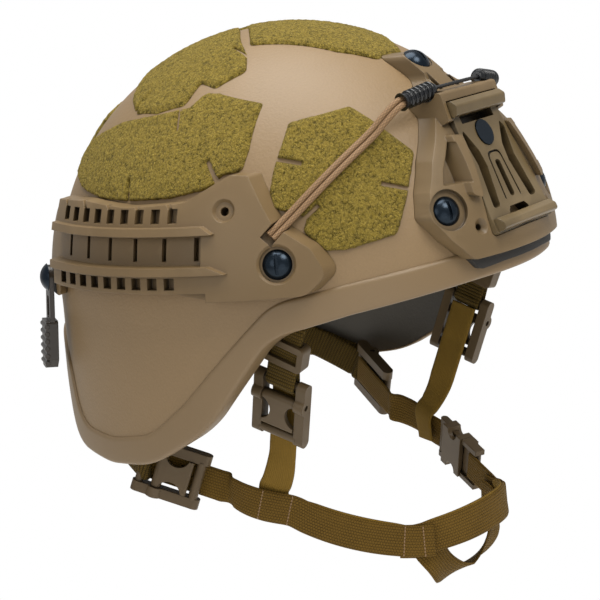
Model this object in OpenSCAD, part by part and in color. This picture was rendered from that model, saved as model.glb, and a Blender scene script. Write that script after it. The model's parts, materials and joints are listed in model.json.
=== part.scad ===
/* [Shell] */
// Half of the outside width at the brow
half_w = 121; // [112:1:130]
// Half of the outside length at the brow
half_l = 139; // [130:1:150]
// Height of the crown above the brow
crown_h = 136; // [128:1:145]
// Wall thickness of the shell
shell_t = 8; // [6:0.5:10]
// Outward lean of the ear covers per millimetre of drop
flare = 0.045; // [0:0.005:0.08]
// Thickness of the rubber edge trim
trim_t = 1.4; // [0.8:0.1:2.5]

/* [Rails] */
// Thickness of the rail plate
rail_plate = 5; // [4:0.5:7]
// Height of the rail blocks above the shell
rail_block = 9; // [8:0.5:11]
// Height of the rail lips above the shell
rail_lip = 12; // [10:0.5:14]
// Distance between neighbouring notches
notch_pitch = 10.4; // [9:0.1:10.8]
// Width of a notch along the rail
notch_w = 5.5; // [3:0.5:7]
// Distance between neighbouring groove slots
slot_pitch = 18.8; // [15:0.2:20]
// Radius of the accessory hole
accessory_r = 2.2; // [1.5:0.1:3]

/* [Shroud] */
// Thickness of the shroud wings
wing_t = 8; // [6:0.5:10]
// Lean of the insert face back from upright
insert_lean = 22; // [18:1:28]
// Radius of the small countersunk holes
small_hole_r = 1.6; // [1.2:0.1:2.2]

/* [Screws] */
// Radius of the screw heads
head_r = 7.4; // [6:0.1:8]
// Height of the screw heads
head_h = 3.8; // [3:0.1:5]
// Radius of the screw shanks
shank_r = 2.4; // [2:0.1:2.8]
// Gap around a shank in its hole
shank_gap = 0.25; // [0.1:0.05:0.5]

/* [Harness] */
// Width of the webbing
web_w = 17; // [16:0.5:20]
// Thickness of the webbing
web_t = 1.6; // [1.2:0.1:2]
// Gap between a lever and the sides of its buckle
lever_gap = 0.3; // [0.2:0.05:0.5]
// Radial gap of a pivot pin
pin_gap = 0.06; // [0.03:0.01:0.1]
// Radius of the lever pins
pin_r = 1.5; // [1.2:0.1:1.8]
// Diameter of one bungee strand
bungee_d = 3; // [2.5:0.1:3.5]

/* [Padding] */
// Thickness of the comfort pads
pad_t = 17; // [12:1:20]
// Thickness of the hook discs under the pads
disc_t = 1.2; // [0.8:0.1:2]
// Thickness of the loop patches
patch_t = 2; // [1.5:0.1:2.5]

/* [Hidden] */
fine = 120;
seat = 0.1;
trim_gap = 0.4;
trim_seat = 0.25;
patch_gap = 0.6;
plate_turn = 1;
rail_turn = 1;
slide_gap = 0.3;
curve_steps = 7;
plate_floor = rail_plate - 2.2;
hook_t = wing_t + 5.4;
pad_out = -shell_t - disc_t - 0.4;

function unit(v) = v / norm(v);
function lean_r(t, drop) = t + flare * drop;
function side_x(y, z, t) = -(half_w + t) * sqrt(1 - pow(y / (half_l + t), 2) - pow(z / (crown_h + t), 2));
function front_y(x, z, t) = -(half_l + t) * sqrt(1 - pow(x / (half_w + t), 2) - pow(z / (crown_h + t), 2));
function on_side(y, z, t) = [side_x(y, z, t), y, z];
function on_front(x, z, t) = [x, front_y(x, z, t), z];
function out_dir(p) = unit([p.x / (half_w * half_w), p.y / (half_l * half_l), p.z / (crown_h * crown_h)]);

// Rounded outline from corners given as [x, y, radius]
function corner_arc(a, b, c) =
    let (
        p = [b.x, b.y],
        u = unit([a.x, a.y] - p),
        v = unit([c.x, c.y] - p),
        half = acos(max(-1, min(1, u * v))) / 2,
        reach = min(b.z / tan(half), norm([a.x, a.y] - p) * 0.49, norm([c.x, c.y] - p) * 0.49),
        p0 = p + u * reach,
        p2 = p + v * reach
    )
    b.z <= 0 || half > 89 ? [p] :
    [for (i = [0:curve_steps]) let (s = i / curve_steps) p0 * pow(1 - s, 2) + p * 2 * s * (1 - s) + p2 * s * s];
function loop_of(c) =
    let (n = len(c))
    [for (i = [0:n - 1]) for (q = corner_arc(c[(i + n - 1) % n], c[i], c[(i + 1) % n])) q];
function line_of(c) =
    let (n = len(c))
    [for (i = [0:n - 1]) for (q = (i == 0 || i == n - 1 ? [[c[i].x, c[i].y]] : corner_arc(c[i - 1], c[i], c[i + 1]))) q];
function shifted(p, d) =
    let (n = len(p))
    [for (i = [0:n - 1]) let (t = unit(p[min(i + 1, n - 1)] - p[max(i - 1, 0)])) p[i] + d * [-t.y, t.x]];
function grown(p, d) =
    let (n = len(p))
    [for (i = [0:n - 1]) let (t = unit(p[(i + 1) % n] - p[(i + n - 1) % n])) p[i] + d * [t.y, -t.x]];
function both_sides(c) = concat(c, [for (i = [len(c) - 1:-1:0]) [-c[i].x, c[i].y, c[i].z]]);

// Curves for webbing and cords
function bend(a, b, c, n) = [for (i = [0:n]) let (s = i / n) a * pow(1 - s, 2) + b * 2 * s * (1 - s) + c * s * s];
function bend3(a, b, c, d, n) = [for (i = [0:n]) let (s = i / n, q = 1 - s)
    a * q * q * q + b * 3 * q * q * s + c * 3 * q * s * s + d * s * s * s];
function mix(a, b, n) = [for (i = [0:n]) a + (b - a) * i / n];

// Shell edge seen from the side, as [y, z, corner radius]
rim_corners = [[-190, 9, 0], [-135, 7, 60], [-95, 1, 60], [-59, -7, 30], [-22, -52, 60], [16, -72, 60],
    [50, -75, 60], [92, -71, 34], [106, -40, 20], [116, -27, 24], [190, -25, 0]];
band_corners = [[-190, 22, 0], [-135, 20.5, 60], [-95, 15, 60], [-62, 9, 30], [-10, -40, 60], [14, -57, 40],
    [46, -62, 60], [82, -60, 24], [95, -28, 20], [112, -14, 24], [190, -12, 0]];
rim_line = line_of(rim_corners);
band_line = line_of(band_corners);

module side_prism(pts, w = 400) {
    rotate([90, 0, 90]) translate([0, 0, -w / 2]) linear_extrude(w) polygon(pts);
}
module right_prism(pts, turn = 0) {
    rotate([0, 0, turn]) rotate([90, 0, -90]) linear_extrude(200) mirror([1, 0]) polygon(pts);
}
module front_prism(pts) {
    rotate([90, 0, 0]) linear_extrude(220) polygon(pts);
}
module rear_prism(pts) {
    rotate([90, 0, 0]) mirror([0, 0, 1]) linear_extrude(220) polygon(pts);
}
module top_prism(pts) {
    linear_extrude(220) polygon(pts);
}
module ball_dome(t) {
    l = half_l + t;
    scale([(half_w + t) / l, 1, (crown_h + t) / l]) rotate([0, 0, 90]) sphere(r = l, $fn = fine);
}
module dome(t, drop = 100) {
    l = half_l + t;
    intersection() {
        ball_dome(t);
        translate([-200, -200, 0]) cube([400, 400, 200]);
    }
    translate([0, 0, -drop]) scale([(half_w + t) / l, 1, 1]) rotate([0, 0, 90])
        cylinder(h = drop, r1 = lean_r(l, drop), r2 = l, $fn = fine);
}
module above(line) {
    side_prism(concat(line, [[190, 200], [-190, 200]]));
}
module below(line) {
    side_prism(concat(line, [[190, -150], [-190, -150]]));
}
module at(p, d) {
    translate(p) rotate([0, acos(d.z), atan2(d.y, d.x)]) children();
}
module mirrored() {
    mirror([1, 0, 0]) children();
}

// Screws: [point on the shell, height of the seat under the head]
front_screw = on_side(-66, 27.5, 0);
rear_screw = on_side(92, 17, 0);
top_screw = on_front(0, 107, 0);
low_screw = on_front(-44, 40.5, 0);
rail_seat = 6;
eye_t = 2.5;
rear_seat = rail_seat + eye_t + 0.25;
shroud_seat = 5;
top_seat = 7;
bore_r = shank_r + shank_gap;
nut_gap = 0.4;
hang_room = 0.6;
web_under = hang_room + 2 * web_t + 0.6;

module screw(p, seat_h, under = nut_gap) {
    dome_r = (head_r * head_r + head_h * head_h) / (2 * head_h);
    at(p, out_dir(p)) difference() {
        union() {
            intersection() {
                translate([0, 0, seat_h + head_h - dome_r]) sphere(r = dome_r, $fn = 64);
                translate([0, 0, seat_h]) cylinder(h = head_h + 1, r = head_r, $fn = 48);
            }
            translate([0, 0, -shell_t - under - 3]) cylinder(h = shell_t + under + 3 + seat_h, r = shank_r, $fn = 32);
        }
        translate([-head_r - 1, -0.8, seat_h + head_h - 1.5]) cube([2 * head_r + 2, 1.6, 3]);
    }
}
module screw_nut(p, under) {
    at(p, out_dir(p)) translate([0, 0, -shell_t - under - 2.4]) difference() {
        cylinder(h = 2.4, r = 7, $fn = 48);
        translate([0, 0, -1]) cylinder(h = 5, r = bore_r, $fn = 32);
    }
}
module screw_bore(p, r = bore_r) {
    at(p, out_dir(p)) translate([0, 0, -20]) cylinder(h = 50, r = r, $fn = 32);
}
module all_bores() {
    for (s = [0, 1]) mirror([s, 0, 0]) {
        screw_bore(front_screw);
        screw_bore(rear_screw);
        screw_bore(low_screw);
    }
    screw_bore(top_screw);
}

// Shell, trim and patches
module ballistic_shell() color("#8c7352") difference() {
    intersection() {
        dome(0);
        above(rim_line);
    }
    dome(-shell_t, 110);
    all_bores();
}
function plan_point(phi, z, t) =
    let (k = z > 0 ? sqrt(1 - pow(z / (crown_h + t), 2)) : 1 + flare * -z / (half_l + t))
    [-(half_w + t) * k * sin(phi), -(half_l + t) * k * cos(phi), z];
// Point at plan angle phi, on the wall at offset t, a given distance below an edge line
function edge_at(phi, t, line, under) =
    let (
        z1 = lookup(-(half_l + t) * cos(phi), line),
        y = plan_point(phi, z1, t).y,
        slope = (lookup(y + 1, line) - lookup(y - 1, line)) / 2 * sin(phi)
    )
    plan_point(phi, lookup(y, line) - under * sqrt(1 + slope * slope), t);
// Point a share of the way up between the two edges, on the curve of the wall
function edge_mid(phi, t, up) =
    let (a = edge_at(phi, t, rim_line, trim_gap), b = edge_at(phi, t, band_line, 0))
    plan_point(phi, a.z + up * (b.z - a.z), t);
module edge_trim() color("#86704f") {
    n = 240;
    m = 11;
    rings = [for (i = [0:n - 1]) let (a = 360 * i / n) each [
        edge_at(a, trim_t, band_line, 0),
        edge_at(a, trim_t, rim_line, trim_t),
        edge_at(a, -shell_t, rim_line, trim_t),
        for (q = [4:-1:0]) edge_at(a, trim_seat - q / 4 * (shell_t + trim_seat), rim_line, trim_gap),
        edge_mid(a, trim_seat, 1 / 3),
        edge_mid(a, trim_seat, 2 / 3),
        edge_at(a, trim_seat, band_line, 0)
    ]];
    polyhedron(points = rings, faces = [for (i = [0:n - 1]) for (j = [0:m - 1])
        let (a = m * i, b = m * ((i + 1) % n), k = (j + 1) % m)
        for (f = [[a + j, b + j, b + k], [a + j, b + k, a + k]]) f]);
}
module skin(t) {
    difference() {
        intersection() {
            ball_dome(t);
            children();
        }
        ball_dome(seat);
    }
}
module cut_line(a, b, w) {
    d = unit(b - a);
    n = [-d.y, d.x] * w / 2;
    polygon([a + n, b + n, b - n, a - n]);
}

crown_corners = both_sides([[-4, 12, 3], [-30, -8, 3], [-38, -14, 3], [-24, -58, 6], [-12, -74, 5]]);
upper_corners = [[-5, 17, 3], [-34, -5, 3], [-47, -18, 3], [-58, -25, 4], [-70, -13, 4], [-67, -2, 2],
    [-78.5, 1, 4], [-80, 19, 6], [-75, 37.6, 1.5], [-66.5, 31.4, 0.4], [-65.4, 32.7, 0.4], [-73.4, 39, 1.5],
    [-62, 50, 8], [-34, 62, 8], [-5, 66, 3]];
side_corners = [[68, 80, 4], [64, 71, 4], [40, 64, 20], [15, 61, 30], [-10, 60.5, 30], [-34, 61.5, 10], [-54, 65, 3],
    [-59, 71, 2], [-67, 72, 3], [-66, 82, 8], [-60, 102, 3], [-36, 108, 4], [-28, 109, 3], [-24, 103, 3],
    [-6, 100.5, 3], [25, 97, 20], [52, 90, 8], [64, 86, 4]];
front_corners = [[-29, 96, 3], [-38, 89, 3], [-57, 71, 3], [-49, 50, 3], [-42, 35, 3], [-16, 31, 3], [-6, 32, 3],
    [3, 42, 3], [0, 48, 2], [16, 54, 3], [16, 62, 6], [12, 73, 4], [2, 92, 4]];
rear_corners = both_sides([[-30, 64, 6], [-50, 68, 4], [-44, 98, 5], [-20, 106, 6]]);

module plate_room() {
    front_prism(grown(loop_of(plate_corners), patch_gap * plate_turn));
}
module loop_patch_crown() color("#8f8241") difference() {
    skin(patch_t) top_prism(loop_of(crown_corners));
    plate_room();
}
module loop_patch_upper_right() color("#8f8241") difference() {
    skin(patch_t) top_prism(loop_of(upper_corners));
    translate([0, 0, 60]) linear_extrude(100) cut_line([-48, -19], [-42, -6], 1.6);
}
module loop_patch_side_right() color("#8f8241") difference() {
    skin(patch_t) right_prism(loop_of(side_corners), -15);
    right_slit([-7, 58], [-4, 71], 1.6, -15);
    right_slit([-17, 104], [-24, 93], 1.8, -15);
    right_slit([-58, 67], [-49, 78], 2.2, -15);
}
module right_slit(a, b, w, turn) {
    rotate([0, 0, turn]) rotate([90, 0, -90]) linear_extrude(200) mirror([1, 0]) cut_line(a, b, w);
}
module loop_patch_front_right() color("#8f8241") difference() {
    skin(patch_t) right_prism(loop_of(front_corners), 40);
    right_slit([14, 77], [-1, 73], 1.8, 40);
    right_slit([-56, 53], [-38, 59], 1.8, 40);
    right_slit([4, 46], [-6, 53], 1.8, 40);
    plate_room();
    right_prism(grown(loop_of(rail_corners), patch_gap * rail_turn));
}
module loop_patch_rear() color("#8f8241") skin(patch_t) {
    rear_prism(loop_of(rear_corners));
}

// Side rail
rail_corners = [[82, 17.5, 3], [84, 9, 4], [103, 9, 6], [103, 52, 12], [84, 60, 12], [50, 61.5, 40], [15, 58.8, 60], [-22, 60.5, 20], [-44, 72, 3], [-53, 71, 3],
    [-67, 48, 3], [-84, 35, 7], [-91, 22, 7], [-82, 13, 8], [-36, 13, 20], [-12, 17.5, 20]];
notch_first = -16;
slot_first = -28;

module rail_slice(pts, t) {
    intersection() {
        ball_dome(t);
        right_prism(pts);
    }
}
module rail_box(y, z, w, h, t) {
    difference() {
        translate([-200, y - w / 2, z - h / 2]) cube([200, w, h]);
        ball_dome(t);
    }
}
module rail_low(y, z, w, h) {
    difference() {
        translate([-200, y, z]) cube([200, w, h]);
        ball_dome(rail_plate);
    }
}
module rail_right() color("#8f7757") difference() {
    union() {
        rail_slice(loop_of(rail_corners), rail_block);
        rail_slice([[81, 45.5], [81, 49.5], [-34, 49.5], [-40, 45.5]], rail_lip);
        rail_slice([[81, 26.5], [81, 30.5], [-38, 30.5], [-47, 26.5]], rail_lip);
    }
    ball_dome(seat);
    rail_low(82, 0, 60, 80);
    rail_low(-35, 0, 120, 17.5);
    rail_low(-33, 30.5, 130, 15);
    for (i = [0:8]) {
        rail_box(notch_first + i * notch_pitch, 54.5, notch_w, 7, rail_plate);
        rail_box(notch_first + 1 + i * notch_pitch, 22.4, notch_w + 0.5, 5.8, rail_plate);
    }
    for (i = [0:2:8]) difference() {
        translate([-200, notch_first + i * notch_pitch, 56]) rotate([-38, 0, 0]) translate([0, -1.1, 0]) cube([200, 2.2, 9]);
        ball_dome(rail_plate + 1.5);
    }
    for (i = [0:5]) translate([-200, slot_first + i * slot_pitch - 1.35, 32.4]) cube([200, 2.7, 11.2]);
    rail_hollow();
    wing_details();
    screw_bore(front_screw);
    screw_bore(rear_screw);
    rear_pocket();
}
module rail_hollow() {
    intersection() {
        ball_dome(plate_floor);
        translate([-200, -37, 31.5]) cube([200, 113, 13]);
    }
}
module rear_pocket() {
    at(rear_screw, out_dir(rear_screw)) translate([0, 0, rail_seat - seat / 2]) cylinder(h = 20, r = head_r + 1, $fn = 48);
}
module wing_details() {
    hole = on_side(-43.5, 56, rail_block);
    at(front_screw, out_dir(front_screw)) {
        translate([0, 0, rail_seat - seat / 2]) cylinder(h = 20, r = head_r + 1.2, $fn = 48);
        translate([0, 0, rail_seat + 1.4]) cylinder(h = 4, r1 = head_r + 1.2, r2 = head_r + 5, $fn = 48);
    }
    at(hole, out_dir(hole)) {
        translate([0, 0, -15]) cylinder(h = 30, r = accessory_r, $fn = 32);
        translate([0, 0, -2]) cylinder(h = 4, r1 = 4.6, r2 = 7.4, $fn = 48);
    }
    bungee_notch();
}
// Notch where the bungee hooks behind the wing
notch_room = 2 * bungee_d + 1;
module bungee_notch() {
    l = unit(notch_in - hook_out);
    placed(notch_in, l, cross(out_dir(notch_in), l)) translate([-notch_room / 2, -4, -bungee_d / 2 - 0.4]) cube([notch_room, 22, 20]);
}

// Front shroud
plate_corners = both_sides([[-9, 116, 4], [-9, 103, 5], [-22, 91, 8], [-44, 66, 12], [-53, 52, 6], [-57.5, 40, 4],
    [-51, 28, 5], [-42, 17, 4]]);
pad_corners = both_sides([[-38, 26, 4], [-42, 19, 4], [-36, 11, 4], [-20, 12, 8]]);
window_corners = [[-29, 75, 1], [-41, 61.5, 1], [-45, 54, 1], [-32, 53.5, 1]];
face_sink = 9.5;
face_at = [0, face_sink - half_l, 62.5];
cap_y = 31.5;
cap_half = 24;
bar_y = -38.5;
bar_half = 28;
insert_depth = 8;

module insert_frame() {
    translate(face_at) rotate([90 - insert_lean, 0, 0]) children();
}
module shroud_plate() color("#8f7757") difference() {
    union() {
        difference() {
            union() {
                intersection() {
                    ball_dome(wing_t);
                    front_prism(loop_of(plate_corners));
                }
                for (s = [0, 1]) mirror([s, 0, 0]) wing_rib();
            }
            insert_bay(slide_gap);
        }
        cap_block();
    }
    edge_room();
    ball_dome(seat);
    for (s = [0, 1]) mirror([s, 0, 0]) {
        difference() {
            front_prism(loop_of(window_corners));
            ball_dome(1.8);
        }
        seat_pocket(low_screw, 3);
        screw_bore(low_screw);
        small_hole();
    }
    seat_pocket(top_screw, 0.8, top_seat);
    screw_bore(top_screw);
    top_slots();
}
module seat_pocket(p, extra, level = shroud_seat) {
    at(p, out_dir(p)) translate([0, 0, level - seat / 2]) cylinder(h = 12, r = head_r + extra, $fn = 48);
}
module small_hole() {
    p = on_front(-33.5, 32, wing_t);
    at(p, out_dir(p)) {
        translate([0, 0, -16]) cylinder(h = 30, r = small_hole_r, $fn = 32);
        translate([0, 0, -2.6]) cylinder(h = 3.6, r1 = small_hole_r, r2 = 5, $fn = 48);
    }
}
rib_rise = 3.5;
module wing_rib() {
    intersection() {
        ball_dome(wing_t + rib_rise);
        front_prism(loop_of([[-23, 76, 1], [-29.5, 77, 2], [-35, 48, 2], [-29.5, 45.5, 1.5]]));
    }
}
// Raised block of the plate round the top of the insert
module cap_block() {
    block_half = cap_half + 3;
    difference() {
        insert_frame() rotate([0, 90, 0]) translate([0, 0, -block_half]) linear_extrude(2 * block_half)
            polygon(loop_of([[28, 20, 0], [-1, 22, 1.5], [-2.5, cap_y + 5, 2], [7, cap_y + 9, 2], [28, cap_y + 3, 0]]));
        insert_bay(slide_gap);
        for (s = [0, 1]) mirror([s, 0, 0]) between(hook_in, hook_out) translate([0, 0, -4]) cylinder(h = 14, r = 5.2, $fn = 48);
    }
}
module top_slots() {
    for (x = [-8, 8]) insert_frame() translate([x - 1.6, cap_y + 1, -12]) cube([3.2, 20, 5]);
}
insert_corners = [[-20.5, cap_y, 3], [-bar_half, bar_y + 9, 6], [-bar_half, bar_y, 3]];
module insert_outline() {
    polygon(loop_of(both_sides(insert_corners)));
}
module insert_bay(gap) {
    cap_room = cap_half + gap;
    insert_frame() {
        translate([0, 0, -45]) linear_extrude(75) polygon(grown(loop_of(both_sides(insert_corners)), gap));
        translate([-cap_room, cap_y - 8.5 - gap, -6 - gap]) cube([2 * cap_room, 8.5 + 2 * gap, 40]);
    }
}
module shroud_insert() color("#8a7150") difference() {
    union() {
        intersection() {
            insert_frame() translate([0, 0, -40]) linear_extrude(40) insert_outline();
            front_prism([[-60, 0], [-60, 110], [60, 110], [60, 0]]);
        }
        insert_cap();
        insert_bar();
    }
    ball_dome(seat);
    insert_cuts();
    insert_frame() translate([0, disc_y, -2]) cylinder(h = 6, r = disc_r + 0.2, $fn = 64);
}
disc_r = 6.8;
disc_y = 12;
module insert_cap() {
    insert_frame() translate([0, cap_y - 4, -2]) rotate([0, 90, 0]) translate([0, 0, -cap_half]) linear_extrude(2 * cap_half)
        polygon(loop_of([[4, -4.5, 1], [4, 4, 1], [-6, 3.5, 1.5], [-8.5, 0, 2], [-6.5, -4.5, 1]]));
}
module insert_bar() {
    insert_frame() translate([0, bar_y + 4, -2]) rotate([0, 90, 0]) translate([0, 0, 1.5 - bar_half]) linear_extrude(2 * bar_half - 3)
        polygon(loop_of([[6, -4, 1], [6, 4, 1], [-4, 3.5, 2], [-7, 0.5, 2], [-7, -3, 2]]));
}
module insert_cuts() {
    insert_frame() {
        translate([0, 0, -insert_depth]) linear_extrude(30) {
            for (s = [0, 1]) mirror([s, 0]) polygon(loop_of([[-18, 16, 1], [-20.5, 12, 1], [-18, -3, 3], [-21.5, -26, 2],
                [-15, -26, 2], [-10.5, -5, 3], [-11.5, 4, 3]]));
            polygon(loop_of(both_sides([[-2.2, -3, 2], [-2.2, -23, 2]])));
            polygon(loop_of(both_sides([[-7, -27.5, 1], [-10.5, -31, 1]])));
        }
        translate([0, 0, -2]) linear_extrude(8) difference() {
            polygon(loop_of(both_sides([[-6, 2, 4], [-8, -24, 2]])));
            polygon(loop_of(both_sides([[-5, 1, 4], [-7, -26, 2]])));
        }
        translate([-15.5, cap_y - 12.4, -insert_depth]) cube([31, 4.2, 9]);
    }
}
module shroud_disc() color("#1d2630") insert_frame() translate([0, disc_y, -1.9]) {
    cylinder(h = 2.6, r = disc_r, $fn = 64);
}
module shroud_pad() color("#23211d") difference() {
    skin(4.2) front_prism(loop_of(pad_corners));
    intersection() {
        ball_dome(20);
        front_prism(loop_of([for (c = plate_corners) [c.x, c.y - seat, c.z]]));
    }
    insert_bay(slide_gap);
    edge_room();
}
module edge_room() {
    difference() {
        dome(trim_t + seat);
        above(shifted(band_line, seat));
    }
}

// Lanyard and bungees
hook_in = on_front(-23, 99, hook_t);
hook_out = on_front(-42, 96, hook_t);
notch_in = on_side(-66, 42, 7);
module between(a, b) {
    at(a, unit(b - a)) children();
}
hook_dir = unit(hook_out - hook_in);
module ribbed_sleeve(long) {
    difference() {
        union() {
            cylinder(h = long, r = 3.8, $fn = 48);
            for (i = [0:5]) translate([0, 0, 2 + i * (long - 5) / 5]) rotate_extrude($fn = 48) translate([3.8, 0]) circle(r = 0.9, $fn = 24);
            translate([0, 0, -2]) cylinder(h = 2.4, r1 = 2.4, r2 = 3.8, $fn = 48);
            translate([0, 0, long - 1]) cylinder(h = 2.5, r1 = 3.8, r2 = 4.6, $fn = 48);
        }
        translate([0, 0, long - 6]) cylinder(h = 12, r = bungee_d + 0.3, $fn = 48);
        translate([0, 0, -4]) cylinder(h = 8, r = 1.2, $fn = 32);
    }
}
module lanyard_hook_right() color("#15181a") between(hook_in, hook_out) {
    ribbed_sleeve(norm(hook_out - hook_in));
}
module lanyard_hook_left() color("#15181a") between(across_mid(hook_in), across_mid(hook_out)) {
    ribbed_sleeve(norm(hook_out - hook_in));
}
function across_mid(p) = [-p.x, p.y, p.z];
// Round cord along a line of points, with a direction that keeps its sides from twisting
module tube(p, ref, d, k = 10) {
    n = len(p);
    rings = [for (i = [0:n - 1])
        let (t = run_dir(p, i), a = across(ref, t), b = cross(t, a))
        for (j = [0:k - 1]) p[i] + (a * cos(360 * j / k) + b * sin(360 * j / k)) * d / 2];
    sides = [for (i = [0:n - 2]) for (j = [0:k - 1])
        let (m = (j + 1) % k)
        for (f = [[k * i + j, k * i + k + j, k * i + k + m], [k * i + j, k * i + k + m, k * i + m]]) f];
    e = k * (n - 1);
    start = [for (j = [1:k - 2]) [0, j, j + 1]];
    finish = [for (j = [1:k - 2]) [e + j + 1, e + j, e]];
    polyhedron(points = rings, faces = concat(start, finish, sides));
}
cord_mid = on_front(0, 100, hook_t + 1);
lanyard_half = concat([hook_in + hook_dir * 2.5], bend(hook_in - hook_dir * 2.2, [-10, cord_mid.y, cord_mid.z], cord_mid, 5));
module lanyard_cord() color("#121314") {
    tube(concat(lanyard_half, [for (i = [len(lanyard_half) - 2:-1:0])
        [-lanyard_half[i].x, lanyard_half[i].y, lanyard_half[i].z]]), [0, 0, 1], 1.9);
}
bungee_over = patch_t + bungee_d / 2 + 0.5;
// Strand centre line, pushed outside the patch where the straight line would sink in
function lifted(p, t) =
    let (q = norm([p.x / (half_w + t), p.y / (half_l + t), p.z / (crown_h + t)]))
    q < 1 ? p / q : p;
function bungee_at(s) = lifted(hook_out + (notch_in - hook_out) * s, bungee_over);
bungee_line = concat([hook_out - hook_dir * 5, hook_out - hook_dir * 1],
    bend(hook_out + hook_dir * 1.8, hook_out + hook_dir * 6, bungee_at(0.22), 4), [for (i = [1:9]) bungee_at(0.22 + 0.78 * i / 9)]);
function strand(side) = [for (i = [0:len(bungee_line) - 1])
    let (p = bungee_line[i], o = cross(run_dir(bungee_line, i), out_dir(p)))
    p + unit(o) * side * (bungee_d / 2 + 0.05)];
module bungee_right() color("#7d5f48") {
    for (s = [-1, 1]) tube(strand(s), [0, 0, 1], bungee_d);
}

// Rear strap clip, turning on the rear screw
clip_axis = out_dir(rear_screw);
clip_down = across([0, 0, -1], clip_axis);
clip_level = rail_seat + 0.1;
module rear_clip_right() color("#3a2c1f") placed(rear_screw, clip_down, cross(clip_axis, clip_down)) difference() {
    union() {
        translate([0, 0, clip_level]) cylinder(h = eye_t, r = 6.6, $fn = 48);
        translate([0, 0, clip_level]) linear_extrude(eye_t) difference() {
            polygon(loop_of([[-6.6, 0, 0], [-7.4, -26, 3], [7.4, -26, 3], [6.6, 0, 0]]));
            polygon(loop_of([[-3.6, -10, 3], [-3.6, -22, 3], [3.6, -22, 3], [3.6, -10, 3]]));
        }
        translate([0, 0, clip_level - 1.6]) linear_extrude(6.6)
            polygon(loop_of([[-7.6, -23, 2], [-7.6, -49, 2], [3, -49, 1], [7.6, -44, 1], [7.6, -23, 2]]));
        for (i = [0:5]) translate([-7.9, -26 - 4 * i, clip_level + 4.6]) rotate([0, 90, 0]) cylinder(h = 15.8, r = 1.3, $fn = 24);
    }
    translate([0, 0, -1]) cylinder(h = 30, r = shank_r + pin_gap, $fn = 32);
    translate([-4.5, -46, clip_level - 3]) cube([9, 18, 3.2]);
}

// Comfort pads and hook discs
module pad_shape(t_in, t_out) {
    difference() {
        intersection() {
            ball_dome(t_out);
            children();
        }
        ball_dome(t_in);
    }
}
module pad_body() {
    pad_shape(pad_out - pad_t, pad_out) children();
}
oblong = [[-26, -17, 12], [26, -17, 12], [26, 17, 12], [-26, 17, 12]];
function moved(c, x, y) = [for (q = c) [q.x + x, q.y + y, q.z]];
module crown_pad() color("#4b4a38") pad_body() cylinder(h = 200, r = 52, $fn = 96);
module front_pad() color("#4b4a38") pad_body() front_prism(loop_of(moved([[-31, -17, 12], [31, -17, 12], [31, 17, 12],
    [-31, 17, 12]], 0, 38)));
module rear_pad() color("#4b4a38") pad_body() rear_prism(loop_of(moved([[-34, -20, 12], [34, -20, 12], [34, 20, 12],
    [-34, 20, 12]], 0, 30)));
module side_pad_front_right() color("#4b4a38") pad_body() right_prism(loop_of(moved(oblong, -22, 63)), 24);
module side_pad_rear_right() color("#4b4a38") pad_body() right_prism(loop_of(moved(oblong, 30, 58)), -14);
module hook_disc() {
    pad_shape(pad_out + seat, -shell_t - seat) children();
}
module hook_discs() color("#2b2a24") {
    hook_disc() cylinder(h = 200, r = 30, $fn = 64);
    hook_disc() translate([0, 0, 38]) rotate([90, 0, 0]) cylinder(h = 200, r = 13, $fn = 64);
    hook_disc() translate([0, 0, 30]) rotate([-90, 0, 0]) cylinder(h = 200, r = 14, $fn = 64);
    for (s = [0, 1]) mirror([s, 0, 0]) {
        hook_disc() rotate([0, 0, 24]) translate([0, -22, 63]) rotate([0, -90, 0]) cylinder(h = 200, r = 13, $fn = 64);
        hook_disc() rotate([0, 0, -14]) translate([0, 30, 58]) rotate([0, -90, 0]) cylinder(h = 200, r = 13, $fn = 64);
    }
}

// Webbing strips: centre points, width directions, width, thickness
function run_dir(p, i) = unit(p[min(i + 1, len(p) - 1)] - p[max(i - 1, 0)]);
function across(w, t) = unit(w - t * (w * t));
module ribbon(p, w, wide, thick) {
    n = len(p);
    rings = [for (i = [0:n - 1])
        let (t = run_dir(p, i), a = across(w[i], t), b = cross(t, a))
        for (k = [[-1, -1], [1, -1], [1, 1], [-1, 1]]) p[i] + a * k.x * wide / 2 + b * k.y * thick / 2];
    sides = [for (i = [0:n - 2]) for (k = [0:3])
        let (j = (k + 1) % 4)
        for (f = [[4 * i + k, 4 * i + 4 + k, 4 * i + 4 + j], [4 * i + k, 4 * i + 4 + j, 4 * i + j]]) f];
    e = 4 * (n - 1);
    polyhedron(points = rings, faces = concat([[0, 1, 2], [0, 2, 3], [e + 2, e + 1, e], [e + 3, e + 2, e]], sides));
}
function same(v, n) = [for (i = [1:n]) v];

// Buckle frames: local X across the webbing, Y back up it, Z outward
module placed(p, l, w) {
    a = across(w, l);
    n = cross(l, a);
    multmatrix([[a.x, -l.x, n.x, p.x], [a.y, -l.y, n.y, p.y], [a.z, -l.z, n.z, p.z], [0, 0, 0, 1]]) children();
}
function to_world(p, l, w, q) =
    let (a = across(w, l), n = cross(l, a))
    p + a * q.x - l * q.y + n * q.z;

front_buckle_at = [33 - half_w, -44, -49];
front_run = unit([20, 36, -99]);
front_across = [0, -1, 0];
rear_buckle_at = [25 - half_w, 28, -86];
rear_run = unit([25, -46, -23]);
rear_across = [0, 0, 1];
join_at = [45 - half_w, -22, -108];
jaw_mid = [36 - half_w, -8, -103];
zone_at = [-42, -84, -132];

bar_in = web_w / 2 + 1.2;
bar_out = bar_in + 5.5;
web_level = -3.4;
pivot_y = 6;
buckle_l = 15.5;
lever_l = 9.5;
sewn_gap = 0.35;

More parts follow.
